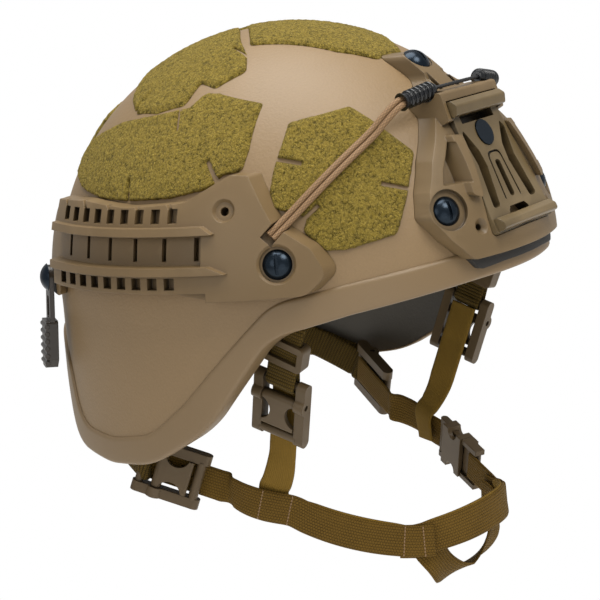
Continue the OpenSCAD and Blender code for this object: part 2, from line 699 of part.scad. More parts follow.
module buckle_body() {
    difference() {
        union() {
            for (s = [-1, 1]) translate([s * (bar_in + bar_out) / 2 - 2.75, 0, 0]) {
                translate([0, -buckle_l, -3]) cube([5.5, 2 * buckle_l, 6.5]);
                for (y = [-buckle_l, buckle_l]) translate([0, y, 0.25]) rotate([0, 90, 0]) cylinder(h = 5.5, r = 3.25, $fn = 48);
                translate([0, pivot_y, 1.5]) rotate([0, 90, 0]) cylinder(h = 5.5, r = 4.2, $fn = 48);
            }
            translate([-bar_in - 1, buckle_l, 0.25]) rotate([0, 90, 0]) cylinder(h = 2 * bar_in + 2, r = 2.2, $fn = 32);
            translate([-bar_in - 1, 1 - buckle_l, 1.2]) rotate([0, 90, 0]) cylinder(h = 2 * bar_in + 2, r = 2.6, $fn = 32);
        }
        translate([-bar_out - 1, pivot_y, 1.5]) rotate([0, 90, 0]) cylinder(h = 2 * bar_out + 2, r = pin_r + pin_gap, $fn = 32);
    }
}
module lever_body() {
    w = bar_in - lever_gap;
    translate([-bar_out + 1, pivot_y, 1.5]) rotate([0, 90, 0]) cylinder(h = 2 * bar_out - 2, r = pin_r, $fn = 32);
    translate([-w, pivot_y, 1.5]) rotate([0, 90, 0]) cylinder(h = 2 * w, r = 2.8, $fn = 48);
    difference() {
        translate([-w, -lever_l, 1.8]) cube([2 * w, pivot_y + lever_l, 2.5]);
        for (s = [-1, 1]) translate([s * (w + 1.6), -1.5, 0]) cylinder(h = 6, r = 6.6, $fn = 48);
    }
    translate([-w, -lever_l, 3.05]) rotate([0, 90, 0]) cylinder(h = 2 * w, r = 1.25, $fn = 32);
}
module web_loop(bar_y, bar_z, r) {
    translate([-web_w / 2, bar_y, bar_z]) rotate([0, 90, 0]) difference() {
        cylinder(h = web_w, r = r + 0.15 + web_t, $fn = 48);
        translate([0, 0, -1]) cylinder(h = web_w + 2, r = r + 0.15, $fn = 48);
    }
}

// Front hanger: from the front screw down the inner wall to the buckle
hang_in = -shell_t - hang_room - web_t;
function down_wall(y, z, t) = [-(half_w + t + flare * max(0, -z)) * sqrt(1 - pow(y / (half_l + t), 2)), y, z];
function wall_at(y, z, t) = z > 0 ? on_side(y, z, t) : down_wall(y, z, t);
function wall_out(p) = unit([p.x / (half_w * half_w), p.y / (half_l * half_l), max(0, p.z) / (crown_h * crown_h)]);
function wall_widths(p, k) = [for (i = [0:k - 1]) cross(wall_out(p[i]), run_dir(p, i))];
front_bar_at = to_world(front_buckle_at, front_run, front_across, [0, buckle_l + 3, 0.25]);
front_exit = wall_at(-61, -6, hang_in - 1.25);
slider_run = unit(front_bar_at - front_run * 9 - front_exit);
slider_at = front_exit * 0.3 + (front_bar_at - front_run * 9) * 0.7;
front_route = concat([[-67, 36.5]], bend([-67, 29.5], [-66.5, 7], [-61, -6], 6));
front_path = concat([for (i = [0:len(front_route) - 1]) wall_at(front_route[i].x, front_route[i].y, hang_in - 0.25 * max(0, i - 2))],
    [slider_at - slider_run * 8.5, slider_at + slider_run * 8.5, front_bar_at]);
front_widths = concat(wall_widths(front_path, 7), [wall_widths(front_path, 8)[7] * 0.5 + front_across * 0.5], same(front_across, 3));
join_dir = unit([9, -16, -5.5]);
join_in = cross(unit([join_dir.x, join_dir.y, 0]), [0, 0, 1]) * -(web_t + 1);
front_low = to_world(front_buckle_at, front_run, front_across, [0, 12, web_level]);
front_drop = concat(mix(front_low, to_world(front_buckle_at, front_run, front_across, [0, -26, web_level]), 2),
    bend(to_world(front_buckle_at, front_run, front_across, [0, -32, web_level]),
        to_world(front_buckle_at, front_run, front_across, [0, -44, web_level + 0.5]), join_at + join_in + [0, 0, 9], 4),
    [join_at + join_in * 1.2 + [0, 0, -7]]);

module front_hanger_right() color("#4f4226") difference() {
    union() {
        ribbon(front_path, front_widths, web_w, 2 * web_t);
        placed(front_buckle_at, front_run, front_across) web_loop(buckle_l, 0.25, 2.2);
    }
    screw_bore(front_screw);
}
module front_buckle_right() color("#6f604b") placed(front_buckle_at, front_run, front_across) {
    buckle_body();
}
module front_lever_right() color("#776751") placed(front_buckle_at, front_run, front_across) {
    lever_body();
}
module front_strap_right() color("#6b5226") {
    ribbon(front_drop, concat(same(front_across, 4), [for (i = [1:5]) front_across * (1 - i / 5) + join_dir * i / 5]),
        web_w - 1, web_t);
}

// Rear hanger: from the rear screw down inside the ear cover
rear_bar_at = to_world(rear_buckle_at, rear_run, rear_across, [0, buckle_l + 3.4, 0.25]);
rear_route = concat([[92, 27], [92, 12], [92, -6]], bend([91, -20], [88, -58], [60, -68], 6));
rear_path = concat([for (i = [0:len(rear_route) - 1]) wall_at(rear_route[i].x, rear_route[i].y, hang_in - 0.25 * max(0, i - 2))],
    [rear_bar_at]);
rear_widths = concat(wall_widths(rear_path, len(rear_path) - 1), same(rear_across, 1));
module rear_hanger_right() color("#4f4226") difference() {
    union() {
        ribbon(rear_path, rear_widths, web_w, 2 * web_t);
        placed(rear_buckle_at, rear_run, rear_across) web_loop(buckle_l, 0.25, 2.2);
    }
    screw_bore(rear_screw);
}
module rear_buckle_right() color("#6f604b") placed(rear_buckle_at, rear_run, rear_across) {
    buckle_body();
}
module rear_lever_right() color("#776751") placed(rear_buckle_at, rear_run, rear_across) {
    lever_body();
}

// Jaw strap from the rear buckle forward to the chin zone
jaw_start = to_world(rear_buckle_at, rear_run, rear_across, [0, 12, web_level]);
jaw_exit = to_world(rear_buckle_at, rear_run, rear_across, [0, -26, web_level]);
jaw_path = concat(mix(jaw_start, jaw_exit, 2), bend(jaw_exit + rear_run * 5, jaw_mid, join_at, 5),
    bend(join_at + [4, -8, -2.5], [-60, -54, -128], zone_at, 7), [zone_at + [5, -8.6, -0.3]]);
module jaw_strap_right() color("#6b5226") {
    ribbon(jaw_path, same([0, 0, 1], len(jaw_path)), web_w, web_t);
}

// Chin bands, both sewn to the jaw strap at the stitched zone
zone_in = cross(unit([0.5, -0.86, 0]), [0, 0, 1]) * -(web_t + sewn_gap);
upper_half = concat([zone_at + zone_in + [-4, 7, 0.4]], bend(zone_at + zone_in, [-30, -105, -128], [0, -105, -128], 8));
module chin_band_upper() color("#6b5226") {
    ribbon(concat(upper_half, [for (i = [len(upper_half) - 2:-1:0]) [-upper_half[i].x, upper_half[i].y, upper_half[i].z]]),
        [for (i = [0:2 * len(upper_half) - 2]) [0, 0.12 * min(1, max(0, min(i, 2 * len(upper_half) - 2 - i) - 3) / 3), 1]], web_w, web_t);
}

lower_from = zone_at + zone_in * 2.6 + [2, -3.4, -3.5];
lower_half = concat([zone_at + zone_in * 2.3 + [-4, 7, -1.5]],
    bend3(lower_from, lower_from + [5.5, -9, -13], [-22, -84, -160], [0, -84, -160], 9));
lower_turn = [for (i = [0:len(lower_half) - 1]) let (s = pow(max(0, i - 2) / (len(lower_half) - 3), 1.3)) [0, -0.9 * s, 1 - 0.72 * s]];
module chin_band_lower() color("#6b5226") {
    back = [for (i = [len(lower_half) - 2:-1:0]) i];
    ribbon(concat(lower_half, [for (i = back) [-lower_half[i].x, lower_half[i].y, lower_half[i].z]]),
        concat(lower_turn, [for (i = back) lower_turn[i]]), web_w, web_t);
}

// Release buckle on the left jaw strap, drawn on the right and mirrored
release_run = unit(zone_at - join_at);
release_across = [0, 0, 1];
plug_level = -2.2;
mouth_at = join_at + release_run * 37 - cross(release_run, across(release_across, release_run)) * plug_level;
buckle_half = web_w / 2 + 4;
cavity_half = web_w / 2 + 1.5;
plug_gap = 0.15;
module socket_body() {
    difference() {
        translate([-buckle_half, 0, -4.2]) cube([2 * buckle_half, 19, 8.6]);
        translate([-cavity_half, -1, -1.5]) cube([2 * cavity_half, 18, 4]);
        for (s = [-1, 1]) translate([s * buckle_half, 9, 0.5]) cylinder(h = 20, r = 4.5, $fn = 48, center = true);
    }
    for (s = [-1, 1]) translate([s * (buckle_half - 1.5) - 1.5, 18, -2.2]) cube([3, 6, 4.4]);
    for (s = [-1, 1]) translate([s * (buckle_half - 1.5) - 1.5, 24, 0]) rotate([0, 90, 0]) cylinder(h = 3, r = 2.2, $fn = 32);
    translate([-buckle_half + 1, 24, 0]) rotate([0, 90, 0]) cylinder(h = 2 * buckle_half - 2, r = 2, $fn = 32);
}
module plug_body() {
    prong = cavity_half - plug_gap;
    translate([-buckle_half, -6, -1.2]) cube([2 * buckle_half, 5.7, 5.6]);
    for (s = [-1, 1]) {
        translate([s * (buckle_half - 1.5) - 1.5, -15, -3]) cube([3, 14.7, 6]);
        translate([s * (prong - 1.6) - 1.6, -1, -1.2]) cube([3.2, 15, 3.4]);
        translate([s * (prong - 2.2) - 2.2, 9, -1.2]) cube([4.4, 6, 3.4]);
    }
    translate([-2.6, -1, -1.2]) cube([5.2, 13, 3.4]);
    translate([-buckle_half + 1, -12, 0.8]) rotate([0, 90, 0]) cylinder(h = 2 * buckle_half - 2, r = 1.8, $fn = 32);
}
module release_socket() color("#6f604b") mirrored() placed(mouth_at, release_run, release_across) socket_body();
module release_plug() color("#776751") mirrored() placed(mouth_at, release_run, release_across) plug_body();
module release_tail() color("#6b5226") mirrored() {
    ribbon(tail_path, same([0, 0, 1], len(tail_path)), web_w, web_t);
}
jaw_left_path = concat(mix(jaw_start, jaw_exit, 2), bend(jaw_exit + rear_run * 5, jaw_mid, join_at, 5),
    [to_world(mouth_at, release_run, release_across, [0, 26.8, 0])]);
module jaw_strap_left() color("#6b5226") mirrored() {
    ribbon(jaw_left_path, same([0, 0, 1], len(jaw_left_path)), web_w, web_t);
    placed(mouth_at, release_run, release_across) web_loop(24, 0, 2);
}
tail_path = concat(mix(to_world(mouth_at, release_run, release_across, [0, -8, plug_level]),
    to_world(mouth_at, release_run, release_across, [0, -31, plug_level]), 3), [zone_at, zone_at + [5, -8.6, -0.3]]);

// Slider on the front hanger, just under the shell edge
module web_slider_right() color("#6f604b") placed(slider_at, slider_run, front_across) difference() {
    linear_extrude(2 * web_t + 4.2, center = true) polygon(loop_of(both_sides([[-web_w / 2 - 3.5, 7, 3], [-web_w / 2 - 3.5, -7, 3]])));
    translate([-web_w / 2 - 2 * slide_gap, -20, -web_t - slide_gap]) cube([web_w + 4 * slide_gap, 40, 2 * (web_t + slide_gap)]);
    translate([-web_w / 2 - slide_gap, -3.5, 0]) cube([web_w + 2 * slide_gap, 7, 20]);
}

module front_screw_right() color("#1b232c") screw(front_screw, rail_seat, web_under);
module rear_screws() color("#1b232c") {
    screw(rear_screw, rear_seat, web_under);
    mirrored() screw(rear_screw, rear_seat, web_under);
}
module shroud_screw_top() color("#1b232c") screw(top_screw, top_seat);
module shroud_screws_low() color("#1b232c") {
    screw(low_screw, shroud_seat);
    mirrored() screw(low_screw, shroud_seat);
}
module screw_nuts() color("#2b2f33") {
    screw_nut(top_screw, nut_gap);
    for (s = [0, 1]) mirror([s, 0, 0]) {
        screw_nut(front_screw, web_under);
        screw_nut(rear_screw, web_under);
        screw_nut(low_screw, nut_gap);
    }
}

module loop_patch_upper_left() mirrored() loop_patch_upper_right();
module loop_patch_side_left() mirrored() loop_patch_side_right();
module loop_patch_front_left() mirrored() loop_patch_front_right();
module rail_left() mirrored() rail_right();
module front_screw_left() mirrored() front_screw_right();
module bungee_left() mirrored() bungee_right();
module rear_clip_left() mirrored() rear_clip_right();
module side_pad_front_left() mirrored() side_pad_front_right();
module side_pad_rear_left() mirrored() side_pad_rear_right();
module front_hanger_left() mirrored() front_hanger_right();
module web_slider_left() mirrored() web_slider_right();
module front_buckle_left() mirrored() front_buckle_right();
module front_lever_left() mirrored() front_lever_right();
module front_strap_left() mirrored() front_strap_right();
module rear_hanger_left() mirrored() rear_hanger_right();
module rear_buckle_left() mirrored() rear_buckle_right();
module rear_lever_left() mirrored() rear_lever_right();

ballistic_shell();
edge_trim();
loop_patch_crown();
loop_patch_upper_right();
loop_patch_upper_left();
loop_patch_side_right();
loop_patch_side_left();
loop_patch_front_right();
loop_patch_front_left();
loop_patch_rear();
rail_right();
rail_left();
front_screw_right();
front_screw_left();
rear_screws();
shroud_plate();
shroud_insert();
shroud_disc();
shroud_pad();
shroud_screw_top();
shroud_screws_low();
lanyard_hook_right();
lanyard_hook_left();
lanyard_cord();
bungee_right();
bungee_left();
rear_clip_right();
rear_clip_left();
crown_pad();
front_pad();
rear_pad();
side_pad_front_right();
side_pad_front_left();
side_pad_rear_right();
side_pad_rear_left();
hook_discs();
screw_nuts();
front_hanger_right();
front_hanger_left();
web_slider_right();
web_slider_left();
front_buckle_right();
front_buckle_left();
front_lever_right();
front_lever_left();
front_strap_right();
front_strap_left();
rear_hanger_right();
rear_hanger_left();
rear_buckle_right();
rear_buckle_left();
rear_lever_right();
rear_lever_left();
jaw_strap_right();
jaw_strap_left();
chin_band_upper();
chin_band_lower();
release_socket();
release_plug();
release_tail();
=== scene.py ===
"""Looks for the combat helmet: formula-built shell, patches, webbing, cords and pads over the CAD frame."""

import json
import math

import bpy
import numpy as np
from mathutils import Matrix, Vector
from mathutils.geometry import delaunay_2d_cdt


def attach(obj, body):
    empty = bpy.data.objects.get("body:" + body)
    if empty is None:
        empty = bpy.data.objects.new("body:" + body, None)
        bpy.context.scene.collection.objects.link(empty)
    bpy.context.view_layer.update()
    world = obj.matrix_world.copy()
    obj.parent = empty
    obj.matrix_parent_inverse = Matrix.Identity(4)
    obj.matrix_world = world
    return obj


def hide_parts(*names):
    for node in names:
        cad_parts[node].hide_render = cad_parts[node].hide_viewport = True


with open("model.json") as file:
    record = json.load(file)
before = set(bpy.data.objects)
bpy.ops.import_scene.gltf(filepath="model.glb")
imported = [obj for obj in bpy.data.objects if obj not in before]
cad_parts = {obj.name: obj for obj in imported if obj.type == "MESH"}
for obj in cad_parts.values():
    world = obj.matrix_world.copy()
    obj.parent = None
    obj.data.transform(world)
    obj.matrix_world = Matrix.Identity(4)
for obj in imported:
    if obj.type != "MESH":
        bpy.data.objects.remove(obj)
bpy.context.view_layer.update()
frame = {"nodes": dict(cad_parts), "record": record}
MM = 0.001
UP = np.array([0.0, 0, 1])

# Sizes in millimetres, the same as in the CAD source
A, B, C = 121.0, 139.0, 136.0  # half width, half length and height of the dome
FLARE = 0.045  # how far the skirt leans out for each millimetre below the brow
SHELL_T = 8.0
TRIM_T = 1.4
PATCH_T = 2.0
PAD_T, PAD_TOP = 17.0, -9.6
WEB_T, WEB_W = 1.6, 17.0

# Mesh steps in millimetres
PATCH_STEP, PAD_STEP = 0.8, 2.0
WEB_STEP, HANGER_STEP, CORD_STEP = 0.6, 0.8, 0.5


def unit(v):
    v = np.asarray(v, float)
    return v / np.maximum(np.linalg.norm(v, axis=-1, keepdims=True), 1e-12)


def on_side(y, z, t):
    """Point of the dome at offset t on the wearer's right side."""
    return np.array([-(A + t) * math.sqrt(1 - (y / (B + t)) ** 2 - (z / (C + t)) ** 2), y, z])


def on_front(x, z, t):
    """Point of the dome at offset t on the front."""
    return np.array([x, -(B + t) * math.sqrt(1 - (x / (A + t)) ** 2 - (z / (C + t)) ** 2), z])


def out_dir(p):
    """Outward direction of the dome at a point."""
    return unit(np.asarray(p, float) / np.array([A * A, B * B, C * C]))


def rounded(corners, steps=20):
    """Outline through corners [x, y, radius]; each corner is a parabola between its two tangent points."""
    c = [np.array(q, float) for q in corners]
    n = len(c)
    res = []
    for i in range(n):
        a, b, d = c[i - 1][:2], c[i][:2], c[(i + 1) % n][:2]
        u, v = unit(a - b), unit(d - b)
        half = math.acos(max(-1, min(1, float(u @ v)))) / 2
        if c[i][2] <= 0 or math.degrees(half) > 89:
            res.append(b)
            continue
        reach = min(c[i][2] / math.tan(half), np.linalg.norm(a - b) * 0.49, np.linalg.norm(d - b) * 0.49)
        p0, p2 = b + u * reach, b + v * reach
        for k in range(steps + 1):
            s = k / steps
            res.append(p0 * (1 - s) ** 2 + b * 2 * s * (1 - s) + p2 * s * s)
    return np.array(res)


def both_sides(c):
    """Corners of the left half, made a symmetric outline."""
    return [list(q) for q in c] + [[-q[0], q[1], q[2]] for q in reversed(c)]


# Lower edge of the shell and upper line of the trim, as height over length along the helmet
RIM = rounded([[-190, 9, 0], [-135, 7, 60], [-95, 1, 60], [-59, -7, 30], [-22, -52, 60], [16, -72, 60],
               [50, -75, 60], [92, -71, 34], [106, -40, 20], [116, -27, 24], [190, -25, 0]])
BAND = rounded([[-190, 22, 0], [-135, 20.5, 60], [-95, 15, 60], [-62, 9, 30], [-10, -40, 60], [14, -57, 40],
                [46, -62, 60], [82, -60, 24], [95, -28, 20], [112, -14, 24], [190, -12, 0]])


def plan_scale(z, t):
    """Size of the plan ellipse at height z: it shrinks up the dome and grows down the skirt."""
    dome = np.sqrt(np.maximum(1 - (z / (C + t)) ** 2, 0))
    return np.where(z > 0, dome, 1 + FLARE * np.maximum(-z, 0) / (B + t))


def edge_z(theta, t, line):
    """Height of an edge line at plan angle theta on the wall at offset t."""
    k = np.ones_like(theta)
    for _ in range(6):
        y = -(B + t) * k * np.cos(theta)
        z = np.interp(y, line[:, 0], line[:, 1])
        k = plan_scale(z, t)
    return z


def wall(theta, z, t):
    """Point of the wall: an ellipsoid above the brow plane, a skirt that leans out below it."""
    k = plan_scale(z, t)
    return np.stack([-(A + t) * k * np.sin(theta), -(B + t) * k * np.cos(theta), z + 0 * theta], -1)


def value_noise(p, size, seed):
    """Smooth noise from -1 to 1 on points p, blended from random numbers on a lattice of that size."""
    cells = 4096
    table = np.random.default_rng(seed).uniform(-1, 1, cells)
    q = np.asarray(p, float) / size
    i = np.floor(q).astype(np.int64)
    f = q - i
    f = f * f * (3 - 2 * f)
    total = np.zeros(q.shape[:-1])
    for corner in np.ndindex(2, 2, 2):
        h = (i + np.array(corner)) * np.array([73856093, 19349663, 83492791])
        key = (h[..., 0] ^ h[..., 1] ^ h[..., 2]) & (cells - 1)
        w = [f[..., c] if corner[c] else 1 - f[..., c] for c in range(3)]
        total += w[0] * w[1] * w[2] * table[key]
    return total


# Mesh helpers
def link(name, data):
    """New object in the scene for the given data."""
    ob = bpy.data.objects.new(name, data)
    bpy.context.scene.collection.objects.link(ob)
    return ob


def mirror_points(p):
    return np.asarray(p, float) * np.array([-1, 1, 1])


def turn_outward(me):
    """Turns a closed mesh's faces outward by the sign of its volume."""
    me.calc_loop_triangles()
    tri = np.zeros(len(me.loop_triangles) * 3, np.int32)
    me.loop_triangles.foreach_get("vertices", tri)
    co = np.zeros(len(me.vertices) * 3)
    me.vertices.foreach_get("co", co)
    p = co.reshape(-1, 3)[tri.reshape(-1, 3)]
    if np.einsum("ij,ij->i", p[:, 0], np.cross(p[:, 1], p[:, 2])).sum() < 0:
        me.flip_normals()


def make_object(name, verts, faces, material, uv=None, mirror=False):
    """Smooth closed mesh from millimetre vertices, faced outward, with one UV per vertex if given."""
    verts = np.asarray(verts, float) * MM
    me = bpy.data.meshes.new(name)
    me.from_pydata((mirror_points(verts) if mirror else verts).tolist(), [],
                   faces if isinstance(faces, list) else faces.tolist())
    if uv is not None:
        layer = me.uv_layers.new(name="cloth")
        idx = np.zeros(len(me.loops), np.int32)
        me.loops.foreach_get("vertex_index", idx)
        layer.data.foreach_set("uv", np.asarray(uv, float)[idx].ravel())
    me.polygons.foreach_set("use_smooth", [True] * len(me.polygons))
    me.materials.append(material)
    me.update()
    turn_outward(me)
    return link(name, me)


def dress(ob, node=None, body="helmet"):
    """The body a piece rides on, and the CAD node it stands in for."""
    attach(ob, body)
    if node:
        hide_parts(node)


def grid_faces(nu, nv, wrap_u=False, wrap_v=False, start=0, flip=False):
    """Quads of an nu by nv grid of points, closed round either way if asked."""
    u, v = np.arange(nu if wrap_u else nu - 1), np.arange(nv if wrap_v else nv - 1)
    i, j = np.meshgrid(u, v, indexing="ij")
    i2, j2 = (i + 1) % nu, (j + 1) % nv
    q = np.stack([i * nv + j, i2 * nv + j, i2 * nv + j2, i * nv + j2], -1).reshape(-1, 4) + start
    return q[:, ::-1] if flip else q


def both_halves(half):
    """A path from the right side to the middle, carried on to the left side."""
    return half + [mirror_points(q) for q in half[-2::-1]]


# Shader helpers
class Net:
    """Short way to write node trees."""

    def __init__(self, tree):
        self.tree = tree

    def put(self, sock, value):
        """Links an input to a socket, or sets its fixed value."""
        if isinstance(value, bpy.types.NodeSocket):
            self.tree.links.new(value, sock)
        else:
            sock.default_value = value

    def n(self, kind, **inputs):
        """New shader node: p_NAME sets a property, iN is input number N, and any other key names an input."""
        node = self.tree.nodes.new("ShaderNode" + kind)
        for key, value in inputs.items():
            if key.startswith("p_"):
                setattr(node, key[2:], value)
            else:
                self.put(node.inputs[int(key[1:]) if key[1:].isdigit() else key], value)
        return node

    def math(self, op, a, b=0.0, clamp=False):
        return self.n("Math", p_operation=op, p_use_clamp=clamp, i0=a, i1=b).outputs[0]

    def add(self, a, b):
        return self.math("ADD", a, b)

    def sub(self, a, b):
        return self.math("SUBTRACT", a, b)

    def mul(self, a, b):
        return self.math("MULTIPLY", a, b)

    def ridges(self, a):
        """|sin(pi a)|: one round ridge between two whole numbers."""
        return self.math("ABSOLUTE", self.math("SINE", self.mul(a, math.pi)))

    def vector(self, op, a, b, out=0):
        return self.n("VectorMath", p_operation=op, i0=a, i1=b).outputs[out]

    def mix(self, fac, a, b):
        return self.n("Mix", p_data_type="RGBA", i0=fac, i6=a, i7=b).outputs[2]

    def ramp(self, fac, low, high):
        return self.n("MapRange", p_clamp=True, Value=fac, i1=low, i2=high).outputs[0]

    def noise(self, vec, scale, detail, rough=0.5, twist=0.0):
        return self.n("TexNoise", Vector=vec, Scale=scale, Detail=detail, Roughness=rough,
                      Distortion=twist).outputs["Fac"]

    def place(self):
        """Object coordinates, in metres."""
        return self.n("TexCoord").outputs["Object"]

    def cloth(self):
        """The piece's own cloth map, in metres along and across."""
        return self.n("UVMap", p_uv_map="cloth").outputs[0]

    def bump(self, height, strength, depth, **more):
        return self.n("Bump", Height=height, Strength=strength, Distance=depth, **more).outputs[0]

    def seal(self, out, **values):
        """Links the results of a node group to its outputs."""
        for key, value in values.items():
            self.put(out.inputs[key], value)
        return self.tree

    def surface(self, base, normal, rough, **extra):
        """Principled surface with fixed numbers set on its own sockets."""
        out, p = self.n("OutputMaterial"), self.n("BsdfPrincipled")
        for key, value in dict(Base_Color=base, Normal=normal, Roughness=rough, **extra).items():
            self.put(p.inputs[key.replace("_", " ")], value)
        self.put(out.inputs[0], p.outputs[0])


def rgba(c, k=1.0, lift=0.0):
    """Colour c scaled by k and lifted, as a node colour."""
    return tuple(min(1.0, q * k + lift) for q in c) + (1.0,)


def group(name, ins, outs):
    """Node group: inputs by name with None for a vector, a colour or a number; outputs as a list of names."""
    tree = bpy.data.node_groups.new(name, "ShaderNodeTree")

    def socket(label, side, kind):
        return tree.interface.new_socket(name=label, in_out=side, socket_type="NodeSocket" + kind)

    for label, value in ins.items():
        s = socket(label, "INPUT", {type(None): "Vector", tuple: "Color", float: "Float"}[type(value)])
        if value is not None:
            s.default_value = value
    for label in outs.split():
        socket(label, "OUTPUT", "Color" if label == "Colour" else "Float")
    return Net(tree), tree.nodes.new("NodeGroupInput").outputs, tree.nodes.new("NodeGroupOutput")


def grain_group():
    """Sprayed or moulded skin: large soft tone shifts, small grains and a height for the bump."""
    grey = (0.5, 0.5, 0.5, 1)
    g, given, out = group("skin_grain", dict(Vector=None, Colour=grey, Grain=1500.0, Spread=0.1),
                          "Colour Height Mottle")
    vec, grain, spread = given["Vector"], given["Grain"], given["Spread"]
    fine = g.noise(vec, grain, 3.0, 0.65)
    cells = g.n("TexVoronoi", p_feature="SMOOTH_F1", Vector=vec, Scale=g.mul(grain, 0.6), Smoothness=0.6)
    broad = g.noise(vec, 22.0, 4.0, 0.55)
    height = g.add(g.mul(fine, 0.6), g.mul(cells.outputs["Distance"], 0.5))
    tone = g.add(g.mul(g.sub(broad, 0.5), spread), g.mul(g.sub(fine, 0.5), g.mul(spread, 1.6)))
    hsv = g.n("HueSaturation", Value=g.add(1.0, tone), Color=given["Colour"])
    return g.seal(out, Colour=hsv.outputs[0], Height=height, Mottle=broad)


def pile_group():
    """Loop pile: curled fibre clumps as masks for painted highlights on the tips and painted shade in the
    pits, and a height.
    """
    g, given, out = group("loop_pile", dict(Vector=None), "Tips Pits Height Patchy")
    vec = given["Vector"]
    warp = g.n("TexNoise", Vector=vec, Scale=420.0, Detail=2.0).outputs["Color"]
    moved = g.n("VectorMath", p_operation="MULTIPLY_ADD", i0=warp, i1=(0.0016, 0.0016, 0.0016), i2=vec)
    fibre = g.noise(moved.outputs[0], 980.0, 3.0, 0.7, 2.0)
    curl = g.n("TexVoronoi", p_feature="F1", Vector=moved.outputs[0], Scale=640.0).outputs["Distance"]
    clump = g.noise(vec, 190.0, 3.0, 0.6)
    height = g.sub(g.add(g.mul(fibre, 0.8), g.mul(clump, 0.5)), g.mul(curl, 0.45))
    return g.seal(out, Tips=g.ramp(fibre, 0.5, 0.58), Pits=g.ramp(curl, 0.4, 0.72), Height=height,
                  Patchy=clump)


def weave_group():
    """Webbing weave from a cloth map in metres: lengthwise ribs crossed by fine picks."""
    g, given, out = group("web_weave", dict(UV=None, Ribs=660.0, Picks=900.0, Vector=None),
                          "Height Grooves Thread Fuzz")
    xy = g.n("SeparateXYZ", Vector=given["UV"])
    along, cross = g.mul(xy.outputs[0], given["Picks"]), g.mul(xy.outputs[1], given["Ribs"])
    rib = g.ridges(cross)
    shift = g.mul(g.math("MODULO", g.math("ABSOLUTE", g.math("FLOOR", cross)), 2.0), 0.5)
    pick = g.ridges(g.add(along, shift))
    fuzz = g.noise(given["Vector"], 2600.0, 3.0, 0.7)
    height = g.add(g.math("POWER", rib, 0.6), g.mul(pick, 0.45))
    return g.seal(out, Height=g.add(height, g.mul(fuzz, 0.25)), Grooves=g.sub(1.0, g.ramp(rib, 0.05, 0.6)),
                  Thread=pick, Fuzz=fuzz)


def braid_group():
    """Braided cord from a cloth map: two crossing families of slanted strands."""
    g, given, out = group("cord_braid", dict(UV=None, Turns=8.0, Pitch=420.0), "Height Over")
    xy = g.n("SeparateXYZ", Vector=given["UV"])
    s, r = g.mul(xy.outputs[0], given["Pitch"]), g.mul(xy.outputs[1], given["Turns"])
    one, two = g.ridges(g.add(s, r)), g.ridges(g.sub(s, r))
    return g.seal(out, Height=g.math("MAXIMUM", one, two), Over=g.mul(one, two))


def cavity_group():
    """Painted shade in slots and corners: a mask that is 1 deep in a hollow and 0 in the open."""
    g, given, out = group("hollow_shade", dict(Reach=0.006, Deep=0.35, Open=0.8), "Mask")
    ao = g.n("AmbientOcclusion", p_samples=6, Distance=given["Reach"])
    return g.seal(out, Mask=g.ramp(ao.outputs["AO"], given["Open"], given["Deep"]))


GRAIN, PILE, WEAVE, BRAID = grain_group(), pile_group(), weave_group(), braid_group()
HOLLOW = cavity_group()


def new_material(name):
    m = bpy.data.materials.new(name)
    m.use_nodes = True
    m.node_tree.nodes.clear()
    return m, Net(m.node_tree)


def use(g, tree, **inputs):
    """Outputs of a node group placed in g."""
    return g.n("Group", p_node_tree=tree, **inputs).outputs


def inner_face(g, pos):
    """1 on the inside of the shell and 0 on its outside, from the distance to the middle in dome radii."""
    scaled = g.vector("DIVIDE", pos, (A * MM, B * MM, C * MM))
    flat = g.vector("MULTIPLY", scaled, (1, 1, 0))
    high, low = (g.n("VectorMath", p_operation="LENGTH", i0=q).outputs["Value"] for q in (scaled, flat))
    above = g.math("GREATER_THAN", g.n("SeparateXYZ", Vector=pos).outputs[2], 0.0)
    return g.ramp(g.add(g.mul(high, above), g.mul(low, g.sub(1.0, above))), 0.975, 0.955)


def skin_material(name, colour, rough, grain=2200.0, bump=0.00006, strength=0.35, spread=0.08, bevel=0.0,
                  wear_and_highlight=0.0, inside=None, hollow=0.0, reach=0.007, deep=0.35, **extra):
    """Paint or moulded plastic with grain, soft machined edges, lighter edges that are partly rubbed wear and
    partly a painted highlight, and painted shade in hollows.
    """
    m, g = new_material(name)
    pos = g.place()
    skin = use(g, GRAIN, Vector=pos, Colour=rgba(colour), Grain=grain, Spread=spread)
    base = skin["Colour"]
    more = {}
    if bevel:
        more["Normal"] = g.n("Bevel", p_samples=6, Radius=bevel).outputs[0]
    # Lighter edges: partly rubbed wear, partly a painted highlight along the edges.
    if wear_and_highlight:
        edge = g.ramp(g.n("NewGeometry").outputs["Pointiness"], 0.52, 0.62)
        patchy = g.mul(edge, g.ramp(skin["Mottle"], 0.4, 0.65))
        base = g.mix(g.mul(patchy, wear_and_highlight), base, rgba(colour, 1.6, 0.02))
    if inside is not None:
        base = g.mix(inner_face(g, pos), base, rgba(inside))
    # Painted shade: hollows darken towards a near-black copy of the colour.
    if hollow:
        shade = use(g, HOLLOW, Reach=reach, Deep=deep, Open=deep + 0.35)["Mask"]
        base = g.mix(g.mul(shade, hollow), base, rgba(colour, 0.12))
    g.surface(base, g.bump(skin["Height"], strength, bump, **more), rough, **extra)
    return m


